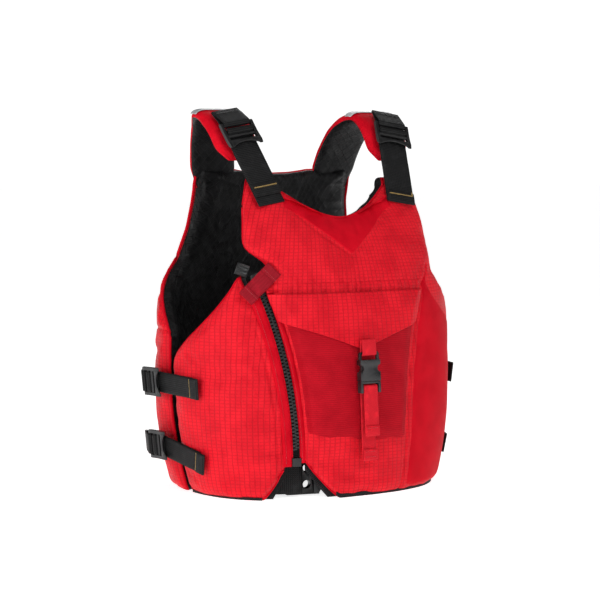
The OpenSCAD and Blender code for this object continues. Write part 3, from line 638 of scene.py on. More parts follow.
zip_low, zip_mid, zip_top = (on_front(x, z, ZIP_SINK) for x, z in
                             ((-89, ZIP_LOW_Z), (-99, 150.0), (-128, ZIP_TOP_Z)))
half, whole = zip_mid - zip_low, zip_top - zip_low
pole = np.cross(half, whole)
zip_centre = zip_low + (np.cross(pole, half) * (whole @ whole)
                        + np.cross(whole, pole) * (half @ half)) / (2 * (pole @ pole))
zip_radius = np.linalg.norm(zip_top - zip_centre)
zip_axis = unit(np.cross(zip_top - zip_centre, zip_low - zip_centre))
zip_sweep = math.degrees(math.acos((zip_top - zip_centre) @ (zip_low - zip_centre) / zip_radius**2))
zip_up = unit(np.cross(zip_top - zip_centre, zip_axis))
outwards = np.array([zip_top[0], zip_top[1] * 3.2, 60])
zip_out = unit(outwards - zip_up * (outwards @ zip_up))
zip_side = np.cross(zip_out, zip_up)


def zip_angle(run):
    """Angle of a length along the zip."""
    return math.degrees(run / zip_radius)


def at_zip(angle):
    """Frame at that angle down the zip: X to the front panel, Y out of the jacket, Z up the zip."""
    turn = np.array(Matrix.Rotation(math.radians(angle), 3, Vector(zip_axis)))
    return Frame(zip_centre + turn @ (zip_top - zip_centre), turn @ -zip_side, turn @ zip_out, turn @ zip_up)


ZIP_LINE = np.array([at_zip(a).origin for a in np.linspace(zip_sweep, 0, 60)])


def beside_zip(z, margin):
    """Polar angle of a point margin millimetres beside the zip at height z."""
    level = np.clip(z, ZIP_LOW_Z, ZIP_TOP_Z)
    x, y = (np.interp(level, ZIP_LINE[:, 2], ZIP_LINE[:, k]) for k in (0, 1))
    return np.degrees(np.arctan2(x, -y) + margin / np.hypot(x, y))


# ---------- edges of the panels, as in the CAD ----------
# Polar angles of the front's side seam, the back's wing and the gusset between; the armhole's peak and foot.
SEAM_ANGLE, WING_ANGLE, GUSSET_ANGLE = 90.0, 93.7, 91.85
PEAK_Z, ARM_LOW = 264.0, 168.0


def arm_x(z):
    """Sideways distance of the front's armhole edge above its peak."""
    return np.interp(z, [PEAK_Z, 310, 345, 378], [139, 138, 133, 122])


def arm_angle(z):
    """The front's edge at the wearer's left: the seam, then the armhole."""
    z = np.asarray(z, float)
    peak = front_angle(139.0, PEAK_Z)
    share = clip01((z - ARM_LOW) / (PEAK_Z - ARM_LOW))
    return np.where(z < PEAK_Z, SEAM_ANGLE + (peak - SEAM_ANGLE) * share, front_angle(arm_x(z), z))


def front_left_angle(z):
    """The front's edge at the wearer's right: beside the zip, then up to the armhole."""
    z = np.asarray(z, float)
    share = smooth(clip01((z - 274) / 28))
    return np.where(z < 302, beside_zip(z, 10) * (1 - share) - arm_angle(302.0) * share, -arm_angle(z))


def neck_top(s):
    q = np.abs(s - 0.5) / 0.42
    return np.where(q < 1, 331 + 39 * np.minimum(q, 1) ** 1.9, 378)


# Each panel's own grid: s runs across it, v up it, and d is the depth under the body's surface.
def front_spot(s, v, d):
    low = 46 * clip01(1 - s / 0.15) ** 1.25
    z = low + v * (neck_top(s) - low)
    left = front_left_angle(z)
    return left + s * (arm_angle(z) - left), z, d


def side_spot(s, v, d):
    low = 42 * clip01((s - 0.8) / 0.2) ** 1.3
    top = ARM_LOW + 96 * s
    z = low + v * (top - low)
    right = beside_zip(z, -12 - 0.1 * np.maximum(0, z - 205))
    return -SEAM_ANGLE + s * (right + SEAM_ANGLE), z, d


def back_arm_angle(z):
    z = np.asarray(z, float)
    high = back_angle(140.0, 277.0)
    share = clip01((z - 190) / 87) ** 1.2
    x = np.interp(z, [277, 314, 350, 395], [140, 124, 119, 120])
    return np.where(z < 277, WING_ANGLE + (high - WING_ANGLE) * share, back_angle(x, z))


def back_spot(s, v, d):
    q = np.abs(s - 0.5) / 0.296
    z = v * np.where(q < 1, 382 + 4 * np.minimum(q, 1) ** 3, 386)
    start = back_arm_angle(z)
    return start + s * (360 - 2 * start), z, d


def quarter(r):
    """Depth of a quarter-round edge, from 0 at r = 0 to 1 at r = 1."""
    return 1 - np.sqrt(1 - clip01(r) ** 2)


# ---------- padded panels ----------
SWELL_FRAMES, SWELL_SHARE = 20, 0.02


class Panel:
    """A padded panel: cover outside, lining inside, and a wall between them, its first row in cover cloth."""

    def __init__(self, name, spot, ns, nv, full, sink, round_w, slope=None, thin_top=0.0):
        s, v = np.meshgrid(np.linspace(0, 1, ns), np.linspace(0, 1, nv))
        t, z, _ = spot(s, v, 0)
        flat = skin(t, z)
        self.t, self.z = t, z
        along_s, along_v = (
            np.concatenate([start, np.cumsum(np.linalg.norm(np.diff(flat, axis=k), axis=2), k)], k)
            for k, start in ((1, np.zeros((nv, 1))), (0, np.zeros((1, ns)))))
        side_q = np.minimum(along_s, along_s[:, -1:] - along_s)
        end_q = np.minimum(along_v, along_v[-1:] - along_v)
        corner = np.hypot(clip01(1 - side_q / round_w), clip01(1 - end_q / round_w))
        outer = sink * quarter(corner)
        if slope:
            # Towards the zip the cover slopes down to the teeth.
            end, width, depth = slope
            from_zip = along_s if end == 0 else along_s[:, -1:] - along_s
            fall = depth * clip01(1 - from_zip / width) ** 1.1 * clip01((268 - z) / 20)
            outer = np.maximum(outer, fall)
        thick = pad_at(z, full)
        if thin_top:
            # Towards its top edge the panel thins to half.
            thick = thick * (1 - 0.5 * smooth(clip01(1 - (along_v[-1:] - along_v) / thin_top)))
        inner = thick - np.minimum(9.0, (thick - sink) * 0.4) * quarter(corner)
        rim = rim_loop(ns, nv)
        outer_points, inner_points = skin(t, z, outer).reshape(-1, 3), skin(t, z, inner).reshape(-1, 3)
        a, b = outer_points[rim], inner_points[rim]
        bulge = unit((outer_points[rim] - outer_points.mean(0)) * [1, 1, 0.6])
        walls = [a + (b - a) * k + bulge * h * np.linalg.norm(b - a, axis=1)[:, None] for k, h in
                 ((0.14, 0.05), (0.5, 0.16), (0.86, 0.05))]
        cloth = on_body(t, z).reshape(-1, 2)
        depth = np.linalg.norm(b - a, axis=1)[:, None]
        wall_cloth = [cloth[rim] + depth * k for k in (0.14, 0.5, 0.86)]
        points = np.vstack([outer_points, inner_points, *walls])
        cloth = np.vstack([cloth, cloth, *wall_cloth])
        cells = (ns - 1) * (nv - 1)
        looks = [0] * cells + [1] * cells + [0] * len(rim) + [1] * (3 * len(rim))
        self.piece = new_piece(name, points, slab_faces(ns, nv, 3), cloth, ["ripstop_red", "black_lining"],
                               looks)
        # Each point's distances from the panel's edges, and 0 on the cover, 0.5 on the wall, 1 on the lining.
        marks = np.vstack([np.stack([side_q, end_q, 0 * z + inside], -1).reshape(-1, 3) for inside in (0, 1)]
                          + [np.tile([[0.0, 0.0, 0.5]], (3 * len(rim), 1))])
        layer = self.piece.data.attributes.new("panel", "FLOAT_VECTOR", "POINT")
        layer.data.foreach_set("vector", np.asarray(marks, np.float32).ravel())
        self.rim, self.n, self.rim_points = rim, ns * nv, a

    def inflate(self, held, cap_out, cap_in):
        """Cloth simulation: the edges and the held points stay, and the rest swells under pressure."""
        rest = spots(self.piece.data)
        weight = np.full(len(rest), 0.06)
        weight[self.n:2 * self.n] = 0.2
        weight[2 * self.n:] = 1
        weight[self.rim] = weight[self.rim + self.n] = 1
        weight[:self.n][held.ravel()] = 1
        group = self.piece.vertex_groups.new(name="held")
        for level in np.unique(weight):
            group.add(np.nonzero(weight == level)[0].tolist(), float(level), "REPLACE")
        cloth = self.piece.modifiers.new("swell", "CLOTH")
        settings = cloth.settings
        settings.quality = 6
        settings.mass = 0.25
        settings.tension_stiffness = settings.compression_stiffness = 18
        settings.shear_stiffness = 8
        settings.bending_stiffness = 0.4
        settings.vertex_group_mass = "held"
        settings.pin_stiffness = 1.0
        settings.shrink_min = settings.shrink_max = -SWELL_SHARE
        settings.use_pressure = True
        settings.uniform_pressure_force = 4
        settings.effector_weights.gravity = 0
        cloth.collision_settings.use_collision = False
        cloth.point_cache.frame_start, cloth.point_cache.frame_end = 1, SWELL_FRAMES
        for number in range(1, SWELL_FRAMES + 1):
            scene.frame_set(number)
        graph = bpy.context.evaluated_depsgraph_get()
        move = spots(self.piece.evaluated_get(graph).data) - rest
        self.piece.modifiers.clear()
        scene.frame_set(1)
        lift = (move * read_all(self.piece.data.vertices, "normal")).sum(1)
        cap = np.where(lift > 0, cap_out, cap_in)
        size = np.linalg.norm(move, axis=1)
        squeeze = cap * np.tanh(size / cap) / np.maximum(size, 1e-9)
        set_spots(self.piece, rest + move * squeeze[:, None])
        self.piece.vertex_groups.clear()

    def detail(self, seed, seams, gathers=()):
        """After two subdivisions: seam grooves, puckers along edges and gathers, and soft dents."""
        refine(self.piece, 2)
        points, out = spots(self.piece.data), read_all(self.piece.data.vertices, "normal")
        side_q, end_q, inside = read_all(self.piece.data.attributes["panel"].data, "vector").T
        t = np.degrees(np.arctan2(points[:, 0], -points[:, 1]))
        t = np.where(self.t.max() > 180, t % 360, t)
        u, z = girth(t), points[:, 2]
        face = clip01(1 - 2 * inside)
        lining = clip01(2 * inside - 1)
        lift = 0.9 * soft_noise(u / 46, z / 60, seed) + 0.35 * soft_noise(u / 17, z / 23, seed + 1)
        for along, q, k in ((z, side_q, 2), (u, end_q, 3)):
            lift += 0.9 * soft_noise(along / 11, q / 30, seed + k) * np.exp(-q / 16) * clip01(q / 4)
        for line, width, depth, pucker in seams:
            gap, run = distance_to_line(u, z, line)
            lift -= depth * np.exp(-((gap / width) ** 2))
            lift += pucker * soft_noise(run / 7, gap / 40, seed + 4) * np.exp(-gap / 12)
        for line, reach, depth in gathers:
            gap, run = distance_to_line(u, z, line)
            fold = soft_noise(run / 4.2, gap / 60, seed + 5) + 0.6 * soft_noise(run / 2.4, gap / 30, seed + 6)
            lift += depth * fold * np.exp(-gap / reach)
        creases = 2.2 * (1 - np.abs(soft_noise(u / 34 + z / 90, z / 30, seed + 7))) ** 5
        creases += 1.3 * (1 - np.abs(soft_noise(u / 22 - z / 40, z / 19, seed + 8))) ** 6
        quilting = -0.5 + creases + 0.7 * soft_noise(u / 20, z / 20, seed + 9)
        points = points + out * (lift * face + quilting * lining)[:, None]
        set_spots(self.piece, points)
        self.piece.data.attributes.remove(self.piece.data.attributes["panel"])
        self.tree = bvh(self.piece)

    def edge(self, out):
        """The seam between cover and lining, as points on the finished panel, moved outwards by out."""
        loop = []
        for p in self.rim_points:
            hit, normal, _, _ = self.tree.find_nearest(Vector((p + HOME) * MM))
            loop.append(np.array(hit) / MM - HOME + out * np.array(normal))
        return np.array(loop)


def distance_to_line(u, z, line):
    """Distance from cloth points to a polyline, and how far along it the nearest point lies."""
    line = np.asarray(line, float)
    best, run, start = np.full(len(u), 1e9), np.zeros(len(u)), 0.0
    for a, b in zip(line[:-1], line[1:]):
        d = b - a
        size = np.linalg.norm(d)
        k = clip01(((u - a[0]) * d[0] + (z - a[1]) * d[1]) / size**2)
        gap = np.hypot(u - a[0] - k * d[0], z - a[1] - k * d[1])
        run = np.where(gap < best, start + k * size, run)
        best = np.minimum(best, gap)
        start += size
    return best, run


def bvh(piece):
    mesh = piece.data
    return BVHTree.FromPolygons([v.co for v in mesh.vertices], [p.vertices for p in mesh.polygons])


RAY_START, RAY_LENGTH = 60.0, 78.0      # a ray's start outside the body's surface, and its reach


def land(tree, t, z):
    """Where a level ray from outside meets a panel at angle t and height z, with the surface's normal."""
    t, z = np.broadcast_arrays(np.asarray(t, float), np.asarray(z, float))
    start, middle = skin(t, z, -RAY_START), skin(t, z, 0.0)
    aim_at = unit(middle - start)
    normal = -aim_at
    flat_start, flat_aim = (start.reshape(-1, 3) + HOME) * MM, aim_at.reshape(-1, 3)
    flat_points, flat_normal = middle.reshape(-1, 3).copy(), normal.reshape(-1, 3).copy()
    for k in range(len(flat_start)):
        hit, face_normal, _, _ = tree.ray_cast(Vector(flat_start[k]), Vector(flat_aim[k]), RAY_LENGTH * MM)
        if hit is not None:
            flat_points[k] = np.array(hit) / MM - HOME
            flat_normal[k] = face_normal
    return flat_points.reshape(middle.shape), unit(flat_normal.reshape(middle.shape) + 2 * normal)


def on_body(t, z):
    return np.stack(np.broadcast_arrays(girth(t), z), -1)


SHEET_THICK = 0.9


def thin_sheet(name, top, low, flat, look):
    """A closed sheet of cloth between two grids of points; flat holds its own coordinates."""
    nv, ns = top.shape[:2]
    points = np.vstack([top.reshape(-1, 3), low.reshape(-1, 3)])
    piece = new_piece(name, points, slab_faces(ns, nv), np.vstack([flat.reshape(-1, 2)] * 2), [look])
    refine(piece, 1)
    return piece


def sheet_on(name, tree, t, z, lift, look):
    """A sheet of cloth over a panel: t and z are grids, and lift its height over the panel at each point."""
    base, out = land(tree, t, z)
    top = base + out * lift[..., None]
    return thin_sheet(name, top, top - out * SHEET_THICK, on_body(t, z), look)


def proud_sheet(name, t, z, proud, look, thick):
    """A sheet held clear of the panel, at a height proud over the body's outer surface."""
    return thin_sheet(name, skin(t, z, -proud), skin(t, z, thick - proud), on_body(t, z), look)


def grid(t0, t1, z0, z1, ns, nv):
    """Angles and heights of a patch: z0 and z1 are functions of s, t0 and t1 functions of z."""
    s, v = np.meshgrid(np.linspace(0, 1, ns), np.linspace(0, 1, nv))
    z = z0(s) + v * (z1(s) - z0(s))
    return s, v, t0(z) + s * (t1(z) - t0(z)), z


def edge_share(s, v, width_s, width_v):
    """0 on a patch's edges, 1 further in than those shares."""
    return smooth(np.minimum(clip01(np.minimum(s, 1 - s) / width_s), clip01(np.minimum(v, 1 - v) / width_v)))


# ---------- moulded parts ----------
class Moulding:
    """Plastic parts built up in a frame from lofted solids, with every edge rounded at the end."""

    def __init__(self, name, where):
        self.name, self.where, self.points, self.faces = name, where, [], []

    def loft(self, rings):
        """A solid through rings of points, all with the same number of points."""
        self.faces += tube_faces(len(rings), len(rings[0]), len(self.points))
        for ring in rings:
            self.points += [tuple(p) for p in ring]

    def along_x(self, profile, x0, x1):
        self.loft([[(x, y, z) for y, z in profile] for x in (x0, x1)])

    def rod(self, x0, x1, y, z, r):
        angles = np.arange(20) * 2 * math.pi / 20
        self.along_x([(y + r * math.cos(a), z + r * math.sin(a)) for a in angles], x0, x1)

    def done(self, rounding, segments=3):
        piece = new_piece(self.name, self.where.place(self.points), self.faces, None, ["black_plastic"])
        bm = bmesh.new()
        bm.from_mesh(piece.data)
        bmesh.ops.recalc_face_normals(bm, faces=bm.faces)
        bm.to_mesh(piece.data)
        bm.free()
        round_edges(piece, rounding, segments)
        return piece


def round_edges(piece, rounding, segments):
    bevel = piece.modifiers.new("round", "BEVEL")
    bevel.width = rounding * MM
    bevel.segments = segments
    bevel.limit_method = "ANGLE"
    bevel.angle_limit = math.radians(32)
    bevel.use_clamp_overlap = True
    bevel.harden_normals = True
    bevel.miter_outer = "MITER_ARC"
    apply_modifiers(piece)


def moulded_copy(node, look, rounding):
    """A CAD part of the right shape, again, with its edges rounded as moulded ones are."""
    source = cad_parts[node]
    bm = bmesh.new()
    bm.from_mesh(source.data)
    bm.transform(source.matrix_world)
    bmesh.ops.remove_doubles(bm, verts=bm.verts, dist=2e-6)
    bmesh.ops.dissolve_limit(bm, angle_limit=math.radians(3), verts=bm.verts, edges=bm.edges)
    mesh = bpy.data.meshes.new(node + "_moulded")
    bm.to_mesh(mesh)
    bm.free()
    mesh.materials.clear()
    mesh.materials.append(LOOKS[look])
    for layer in list(mesh.uv_layers):
        mesh.uv_layers.remove(layer)
    mesh.polygons.foreach_set("use_smooth", np.ones(len(mesh.polygons), bool))
    piece = bpy.data.objects.new(node + "_moulded", mesh)
    scene.collection.objects.link(piece)
    round_edges(piece, rounding, 2)
    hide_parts(node)
    return piece


# ---------- the three torso panels ----------
def pocket_edge_x(z):
    return np.interp(z, [0, 50, 100, 150, 205, 245, 275], [55, 61, 65, 71, 85, 100, 118])


def neck_at(x):
    """Height of the front neckline at sideways distance x."""
    return neck_top(0.5 + front_angle(np.asarray(x, float), 350.0) / (2 * arm_angle(350.0)))


def yoke_low(x):
    return 286 + 57 * np.abs(x) / 77


# Seams: the gathered one over the pocket's flap, the back's level one, and its two upright ones.
SEAM_Z, BACK_SEAM_Z, BACK_SEAMS = 250.0, 196.0, (142.0, 218.0)
heights = np.linspace(4, 272, 20)
across = np.linspace(-104, 96, 24)
band_seam = on_body(front_angle(pocket_edge_x(heights), heights), heights)
gather_seam = on_body(front_angle(across, SEAM_Z), SEAM_Z)
yoke_seam = on_body(front_angle(np.linspace(-78, 78, 25), 320.0), yoke_low(np.linspace(-78, 78, 25)))
zip_heights = np.linspace(6, 262, 24)
placket_seam = on_body(beside_zip(zip_heights, 17.0), zip_heights)
side_heights = np.linspace(2, 200, 20)
side_placket = on_body(beside_zip(side_heights, -19.0), side_heights)
low_seam = on_body(np.linspace(-80, -40, 12), 56.0)
back_cross = on_body(np.linspace(92, 268, 40), BACK_SEAM_Z)
back_left, back_right = (on_body(t, np.linspace(6, 372, 20)) for t in BACK_SEAMS)

front = Panel("front_panel", front_spot, 61, 67, 34, 8, 19, (0, 17, 7.5), 60.0)
front.inflate((np.abs(front.z - SEAM_Z) < 4) & (np.abs(girth(front.t)) < 118), 2.0, 3.0)
front.detail(11, [(band_seam, 2.2, 1.3, 0.4), (placket_seam, 2.0, 1.4, 0.5), (yoke_seam, 2.0, 1.0, 0.35)],
             [(gather_seam, 13.0, 1.1)])
side = Panel("side_panel_padded", side_spot, 41, 41, 30, 8, 18, (1, 32, 8))
side.inflate(np.zeros(side.z.shape, bool), 4.0, 3.0)
side.detail(23, [(side_placket, 2.0, 1.4, 0.5), (low_seam, 1.8, 0.7, 0.2)])
back = Panel("back_panel", back_spot, 91, 61, 22, 6, 13)
back.inflate((np.abs(back.z - BACK_SEAM_Z) < 4) | (np.abs(back.t - BACK_SEAMS[0]) < 0.8)
             | (np.abs(back.t - BACK_SEAMS[1]) < 0.8), 3.5, 2.5)
back.detail(37, [(back_cross, 2.4, 1.6, 0.5), (back_right, 2.4, 1.4, 0.4), (back_left, 2.4, 1.4, 0.4)])
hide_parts("front_cover", "front_foam_right", "front_foam_left", "front_lining")
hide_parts("side_cover", "side_foam", "side_lining")
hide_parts("back_cover", "back_foam_middle_right", "back_foam_middle_left", "back_foam_right",
            "back_foam_left", "back_lining")
ride_all("front", front.piece, back.piece)
ride_all("side_panel", side.piece)


def closed(loop):
    """The loop with its first two points again at the end, so that a thread's ends overlap."""
    return np.vstack([loop, loop[:2]])


front_piping = threads("front_edge_piping", [closed(front.edge(0.2))], 1.2, "plain_red", 8)
side_piping = threads("side_edge_piping", [closed(side.edge(0.2))], 1.2, "plain_red", 8)
back_piping = threads("back_edge_piping", [closed(back.edge(1.5))], 1.8, "plain_red", 8)
ride_all("front", front_piping, back_piping)
ride_all("side_panel", side_piping)


# ---------- cloth sewn on the panels ----------
SEAM_SINK, CLOTH_RISE = -0.9, 0.8


def seam_lift(s, v, width_s, width_v):
    """Cloth on a panel: its sewn edges sink into the seam, and the rest lies on top."""
    return SEAM_SINK + (CLOTH_RISE - SEAM_SINK) * edge_share(s, v, width_s, width_v)


s, v, t, z = grid(lambda z: front_angle(-80.0, z), lambda z: front_angle(80.0, z),
                  lambda s: yoke_low(160 * s - 80), lambda s: neck_at(160 * s - 80) - 1.2, 61, 25)
lift = seam_lift(s, np.minimum(v, 0.5), 0.03, 0.09)
yoke = sheet_on("yoke_cloth", front.tree, t, z, lift, "plain_red")
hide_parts("neck_yoke")


s, v, t, z = grid(lambda z: front_angle(pocket_edge_x(z), z), lambda z: arm_angle(z) - 0.7,
                  lambda s: 3 + 24 * clip01((s - 0.72) / 0.28) ** 2, lambda s: 268 - 96 * s, 29, 81)
lift = seam_lift(np.minimum(s, 0.5), v, 0.07, 0.02)
band = sheet_on("side_band_cloth", front.tree, t, z, lift, "plain_red")
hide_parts("side_band")


def gather_folds(u, reach):
    """Fine upright folds of gathered cloth, from about -1 to 1."""
    return soft_noise(u / 3.6, reach, 71) + 0.5 * soft_noise(u / 1.9, reach + 5, 72)


s, v, t, z = grid(lambda z: beside_zip(z, 10.0), lambda z: front_angle(pocket_edge_x(z) + 0.5, z),
                  lambda s: 62 + 14 * (1 - s) ** 2, lambda s: 234, 61, 65)
u = girth(t)
puff = edge_share(s, np.minimum(v, 0.8), 0.1, 0.1)
lift = SEAM_SINK + 5.0 * puff + 1.0 * soft_noise(u / 38, z / 46, 51) * puff
lift += 0.8 * soft_noise(u / 9, z / 40, 52) * np.exp(-(z - z[0]) / 12) * clip01((z - z[0]) / 3)
pucker = soft_noise(z / 12, u / 50, 53) * np.exp(-np.abs(u - u[:, -1:]) / 12)
lift += 0.7 * pucker * clip01(12 * s) * (s < 0.98)
pocket = sheet_on("pocket_ribbed_bag", front.tree, t, z, lift, "pocket_red")
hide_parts("pocket_bag")


FLAP_TOP = 243.2


def flap_low(s):
    return np.interp(s, [0, 0.5, 0.58, 1], [212, 178, 178, 206])


s, v, t, z = grid(lambda z: beside_zip(z, 5.6), lambda z: front_angle(pocket_edge_x(z) - 0.5, z), flap_low,
                  lambda s: FLAP_TOP, 91, 31)
u = girth(t)
from_top, from_low = FLAP_TOP - z, z - z[0]
proud = 6.2 + 2.4 * clip01(from_top / 24) ** 0.8
proud += 0.9 * gather_folds(u, from_top / 40) * np.exp(-from_top / 9)
proud += 0.7 * soft_noise(u / 30, z / 34, 61) + 0.5 * np.exp(-from_low / 2.5)
# Both ends lie flat where they meet the zip's fold and the side band.
proud = np.minimum(proud, 9.2)
proud = np.minimum(proud, -3.4 + 13 * clip01(s * 9) ** 0.7)
proud = np.minimum(proud, 2.2 + 7 * clip01((1 - s) * 12) ** 0.7)
flap = proud_sheet("flap_cloth", t, z, proud, "ripstop_red", 1.1)
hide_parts("pocket_flap")
ride_all("pocket_flap", flap)

s, v, t, z = grid(lambda z: beside_zip(z, 8.0), lambda z: front_angle(pocket_edge_x(z) + 0.5, z),
                  lambda s: 244.3, lambda s: 256.5, 121, 11)
u = girth(t)
puff = np.sin(math.pi * v) ** 0.7
lift = -0.6 + 1.9 * puff * (1 + 0.5 * gather_folds(u, z / 60)) + 0.4 * gather_folds(u, z / 20)
channel = sheet_on("gathered_channel", front.tree, t, z, lift * np.clip(np.minimum(s, 1 - s) * 40, 0.2, 1),
                   "ripstop_red")
ride_all("front", yoke, band, pocket, channel)

# Plain strips folded beside the zip, each with a row of stitches.
FOLDS = {  # depth under the body's surface, and distance from the zip, over the fold
    1: [(9.6, 9.0), (9.2, 6.2), (8.0, 4.7), (6.6, 5.0), (5.6, 6.8), (5.4, 8.6), (6.6, 11.0)],
    -1: [(10.2, 12.0), (9.6, 7.4), (8.2, 4.8), (6.9, 5.2), (6.0, 8.0), (5.2, 11.0), (4.9, 13.2), (6.4, 15.4)],
}


def placket(name, turn, z0, z1):
    """turn is 1 beside the front panel and -1 beside the side panel."""
    level = np.linspace(z0, z1, 90)
    depth, reach = np.array(FOLDS[turn]).T
    z = np.broadcast_to(level[:, None], (len(level), len(reach)))
    pucker = 0.35 * soft_noise(z / 9, reach / 4, 81 + turn) * (reach > 5.5)
    t = beside_zip(z, turn * reach)
    top, low = skin(t, z, depth - pucker), skin(t, z, depth - pucker + 0.8)
    run = np.concatenate([[0], np.cumsum(np.hypot(np.diff(depth), np.diff(reach)))])
    flat = np.stack([np.broadcast_to(run, z.shape), z], -1)
    if turn < 0:
        top, low, flat = top[:, ::-1], low[:, ::-1], flat[:, ::-1]
    piece = thin_sheet(name, top, low, flat, "plain_red")
    line_z = np.linspace(z0 + 4, z1 - 4, 120)
    line_t = beside_zip(line_z, turn * (6.8 if turn > 0 else 11.0))
    line = skin(line_t, line_z, 5.0 if turn > 0 else 4.7)
    outwards = unit(skin(line_t, line_z, 0.0) - skin(line_t, line_z, 5.0))
    rows = threads(name + "_stitches", stitched(line, outwards), 0.22, "red_thread", 5)
    return piece, rows


front_placket = placket("front_placket", 1, 44, 268)
side_placket_piece = placket("side_placket", -1, 40, 250)
ride_all("front", *front_placket)
ride_all("side_panel", *side_placket_piece)

# Stretch cloth behind the gaps at the sides, in a dark red that is partly its own colour and partly painted
# shade for the narrow gaps.
for word, turn in SIDES.items():
    s, v = np.meshgrid(np.linspace(0, 1, 25), np.linspace(0, 1, 41))
    t, z = turn * GUSSET_ANGLE - 6.5 + 13 * s, 44 + 111 * v
    depth = pad_at(z, 34) + 4.4 + 0.7 * soft_noise(z / 5, s * 2, 91 + turn)
    piece = proud_sheet(f"stretch_gusset_{word}", t, z, -depth, "gusset_red_painted_shade", SHEET_THICK)
    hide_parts("side_gussets")
    ride_all("front", piece)


# Black binding under the front's hem, and webbing behind the two slanted edges of the notch.
def hem_line(spot, s0, s1, drop, low, depth):
    share = np.linspace(s0, s1, 60)
    t, z, _ = spot(share, 0, 0)
    return skin(t, np.maximum(z - drop, low), depth)


for name, spot, s0, s1, drop, low, depth, width, body in (
    ("hem_binding", front_spot, 0.13, 0.97, -2.2, 2.2, 4.6, 6.0, "front"),
    ("hem_binding_side", side_spot, 0.04, 0.8, -1.4, 1.4, 5.2, 4.0, "side_panel"),
    ("notch_webbing_front", front_spot, 0.0, 0.17, 3.0, 9.0, 13.0, 17.0, "front"),
    ("notch_webbing_side", side_spot, 0.78, 1.0, 3.0, 9.0, 13.0, 17.0, "side_panel"),
):
    ride_all(body, ribbon(name, hem_line(spot, s0, s1, drop, low, depth), [0, 0, 1], width, 1.3,
                          "black_binding", ripple=0.2))


# ---------- shoulder pads ----------
ARCH = np.array([[76, 391], [58, 470], [-8, 494], [-40, 402]], float)


def arch(t):
    """The shoulder pads' line as (Y, Z), and its direction: t is 0 at the back and 1 in front."""
    t = np.asarray(t, float)[..., None]
    p = (1 - t) ** 3 * ARCH[0] + 3 * (1 - t) ** 2 * t * ARCH[1] + 3 * (1 - t) * t**2 * ARCH[2] + t**3 * ARCH[3]
    g = (1 - t) ** 2 * (ARCH[1] - ARCH[0]) + 2 * (1 - t) * t * (ARCH[2] - ARCH[1]) + t**2 * (ARCH[3] - ARCH[2])
    return p, unit(g)


def pad_spot(turn, s, t, depth):
    """s runs from the neck outwards, t over the shoulder from the back."""
    p, g = arch(t)
    inner = np.interp(t, [0, 0.3, 0.5, 0.95, 1], [58, 70, 79, 80, 86])
    outer = np.interp(t, [0, 0.3, 0.5, 0.75, 0.95, 1], [120, 132, 144, 144, 138, 130])
    return np.stack([turn * (inner + s * (outer - inner)), p[..., 0] - g[..., 1] * depth,
                     p[..., 1] + g[..., 0] * depth], -1)


PAD_WIDTH, PAD_LENGTH = 58.0, 178.0
for word, turn in SIDES.items():
    ns, nv = 25, 65
    s, t = np.meshgrid(np.linspace(0, 1, ns), np.linspace(-0.1, 1, nv))
    s = s if turn > 0 else 1 - s
    side_q, end_q = PAD_WIDTH * np.minimum(s, 1 - s), PAD_LENGTH * np.minimum(t + 0.3, 1 - t)
    corner = np.hypot(clip01(1 - side_q / 13), clip01(1 - end_q / 13))
    # The front end is rounded in outline: rows near it draw in towards the middle.
    near = clip01(1 - end_q / 16)
    # Below the arch's start the pad narrows and thins out inside the back panel.
    hidden = np.maximum(0, -t)
    s = 0.5 + (s - 0.5) * (1 - 0.32 * near**2) * (1 - 3 * hidden)
    u = t * PAD_LENGTH
    lump = 0.7 * soft_noise(u / 30, s * 2, 101 + turn) + 0.5 * soft_noise(u / 9, s, 103) * np.exp(-side_q / 9)
    outer = pad_spot(turn, s, t, 6.0 * quarter(corner) + 0.6 - lump + 60 * hidden)
    inner = pad_spot(turn, s, t, np.maximum(14.0 - 4.0 * quarter(corner) - 34 * hidden, 7.0 + 30 * hidden)
                     + 0.5 * soft_noise(u / 12, s * 3, 105 + turn) * (hidden == 0))
    rim = rim_loop(ns, nv)
    wall = 0.5 * (outer.reshape(-1, 3)[rim] + inner.reshape(-1, 3)[rim])
    cloth = np.stack([s * PAD_WIDTH, u], -1).reshape(-1, 2)
    points = np.vstack([outer.reshape(-1, 3), inner.reshape(-1, 3), wall])
    cells = (ns - 1) * (nv - 1)
    pad = new_piece(f"shoulder_pad_{word}", points, slab_faces(ns, nv, 1),
                    np.vstack([cloth, cloth, cloth[rim] + 4]), ["plain_red", "black_lining"],
                    [0] * cells + [1] * cells + [0] * (2 * len(rim)))
    refine(pad, 1)
    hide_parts(f"shoulder_cover_{word}", f"shoulder_foam_{word}", f"shoulder_lining_{word}")

    s, t = np.meshgrid(np.linspace(-0.03, 1.03, 25), np.linspace(0.5, 0.62, 9))
    s = s if turn > 0 else 1 - s
    edge_q = PAD_WIDTH * np.minimum(s + 0.03, 1.03 - s)
    top = pad_spot(turn, s, t, 6.4 * quarter(1 - edge_q / 13) - 0.9)
    low = pad_spot(turn, s, t, 6.4 * quarter(1 - edge_q / 13) + 0.2)
    cloth = np.stack([s * PAD_WIDTH, t * PAD_LENGTH], -1)
    tape = thin_sheet(f"reflective_band_{word}", top, low, cloth, "reflective")
    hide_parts("reflective_bands")
    ride_all("front", pad, tape)


# ---------- ladder locks and webbing ----------
BAR_Y, BAR_Z = -14.0, 2.2
WIDE, NARROW, POCKET_WEB, THICK = 38.0, 25.0, 20, 1.4


def at_shoulder(turn):
    """A shoulder lock's frame: X across the webbing, Y down along it, Z outwards."""
    down = unit([-0.184 * turn, -0.5, -0.85])
    return Frame([turn * 110, -35.6, 430.7], unit(np.cross(down, [0, -0.86, 0.5])), down)


UPPER_BAR, LOWER_BAR = np.array([202.5, 34, 134.0]), np.array([194.6, 34, 57.0])


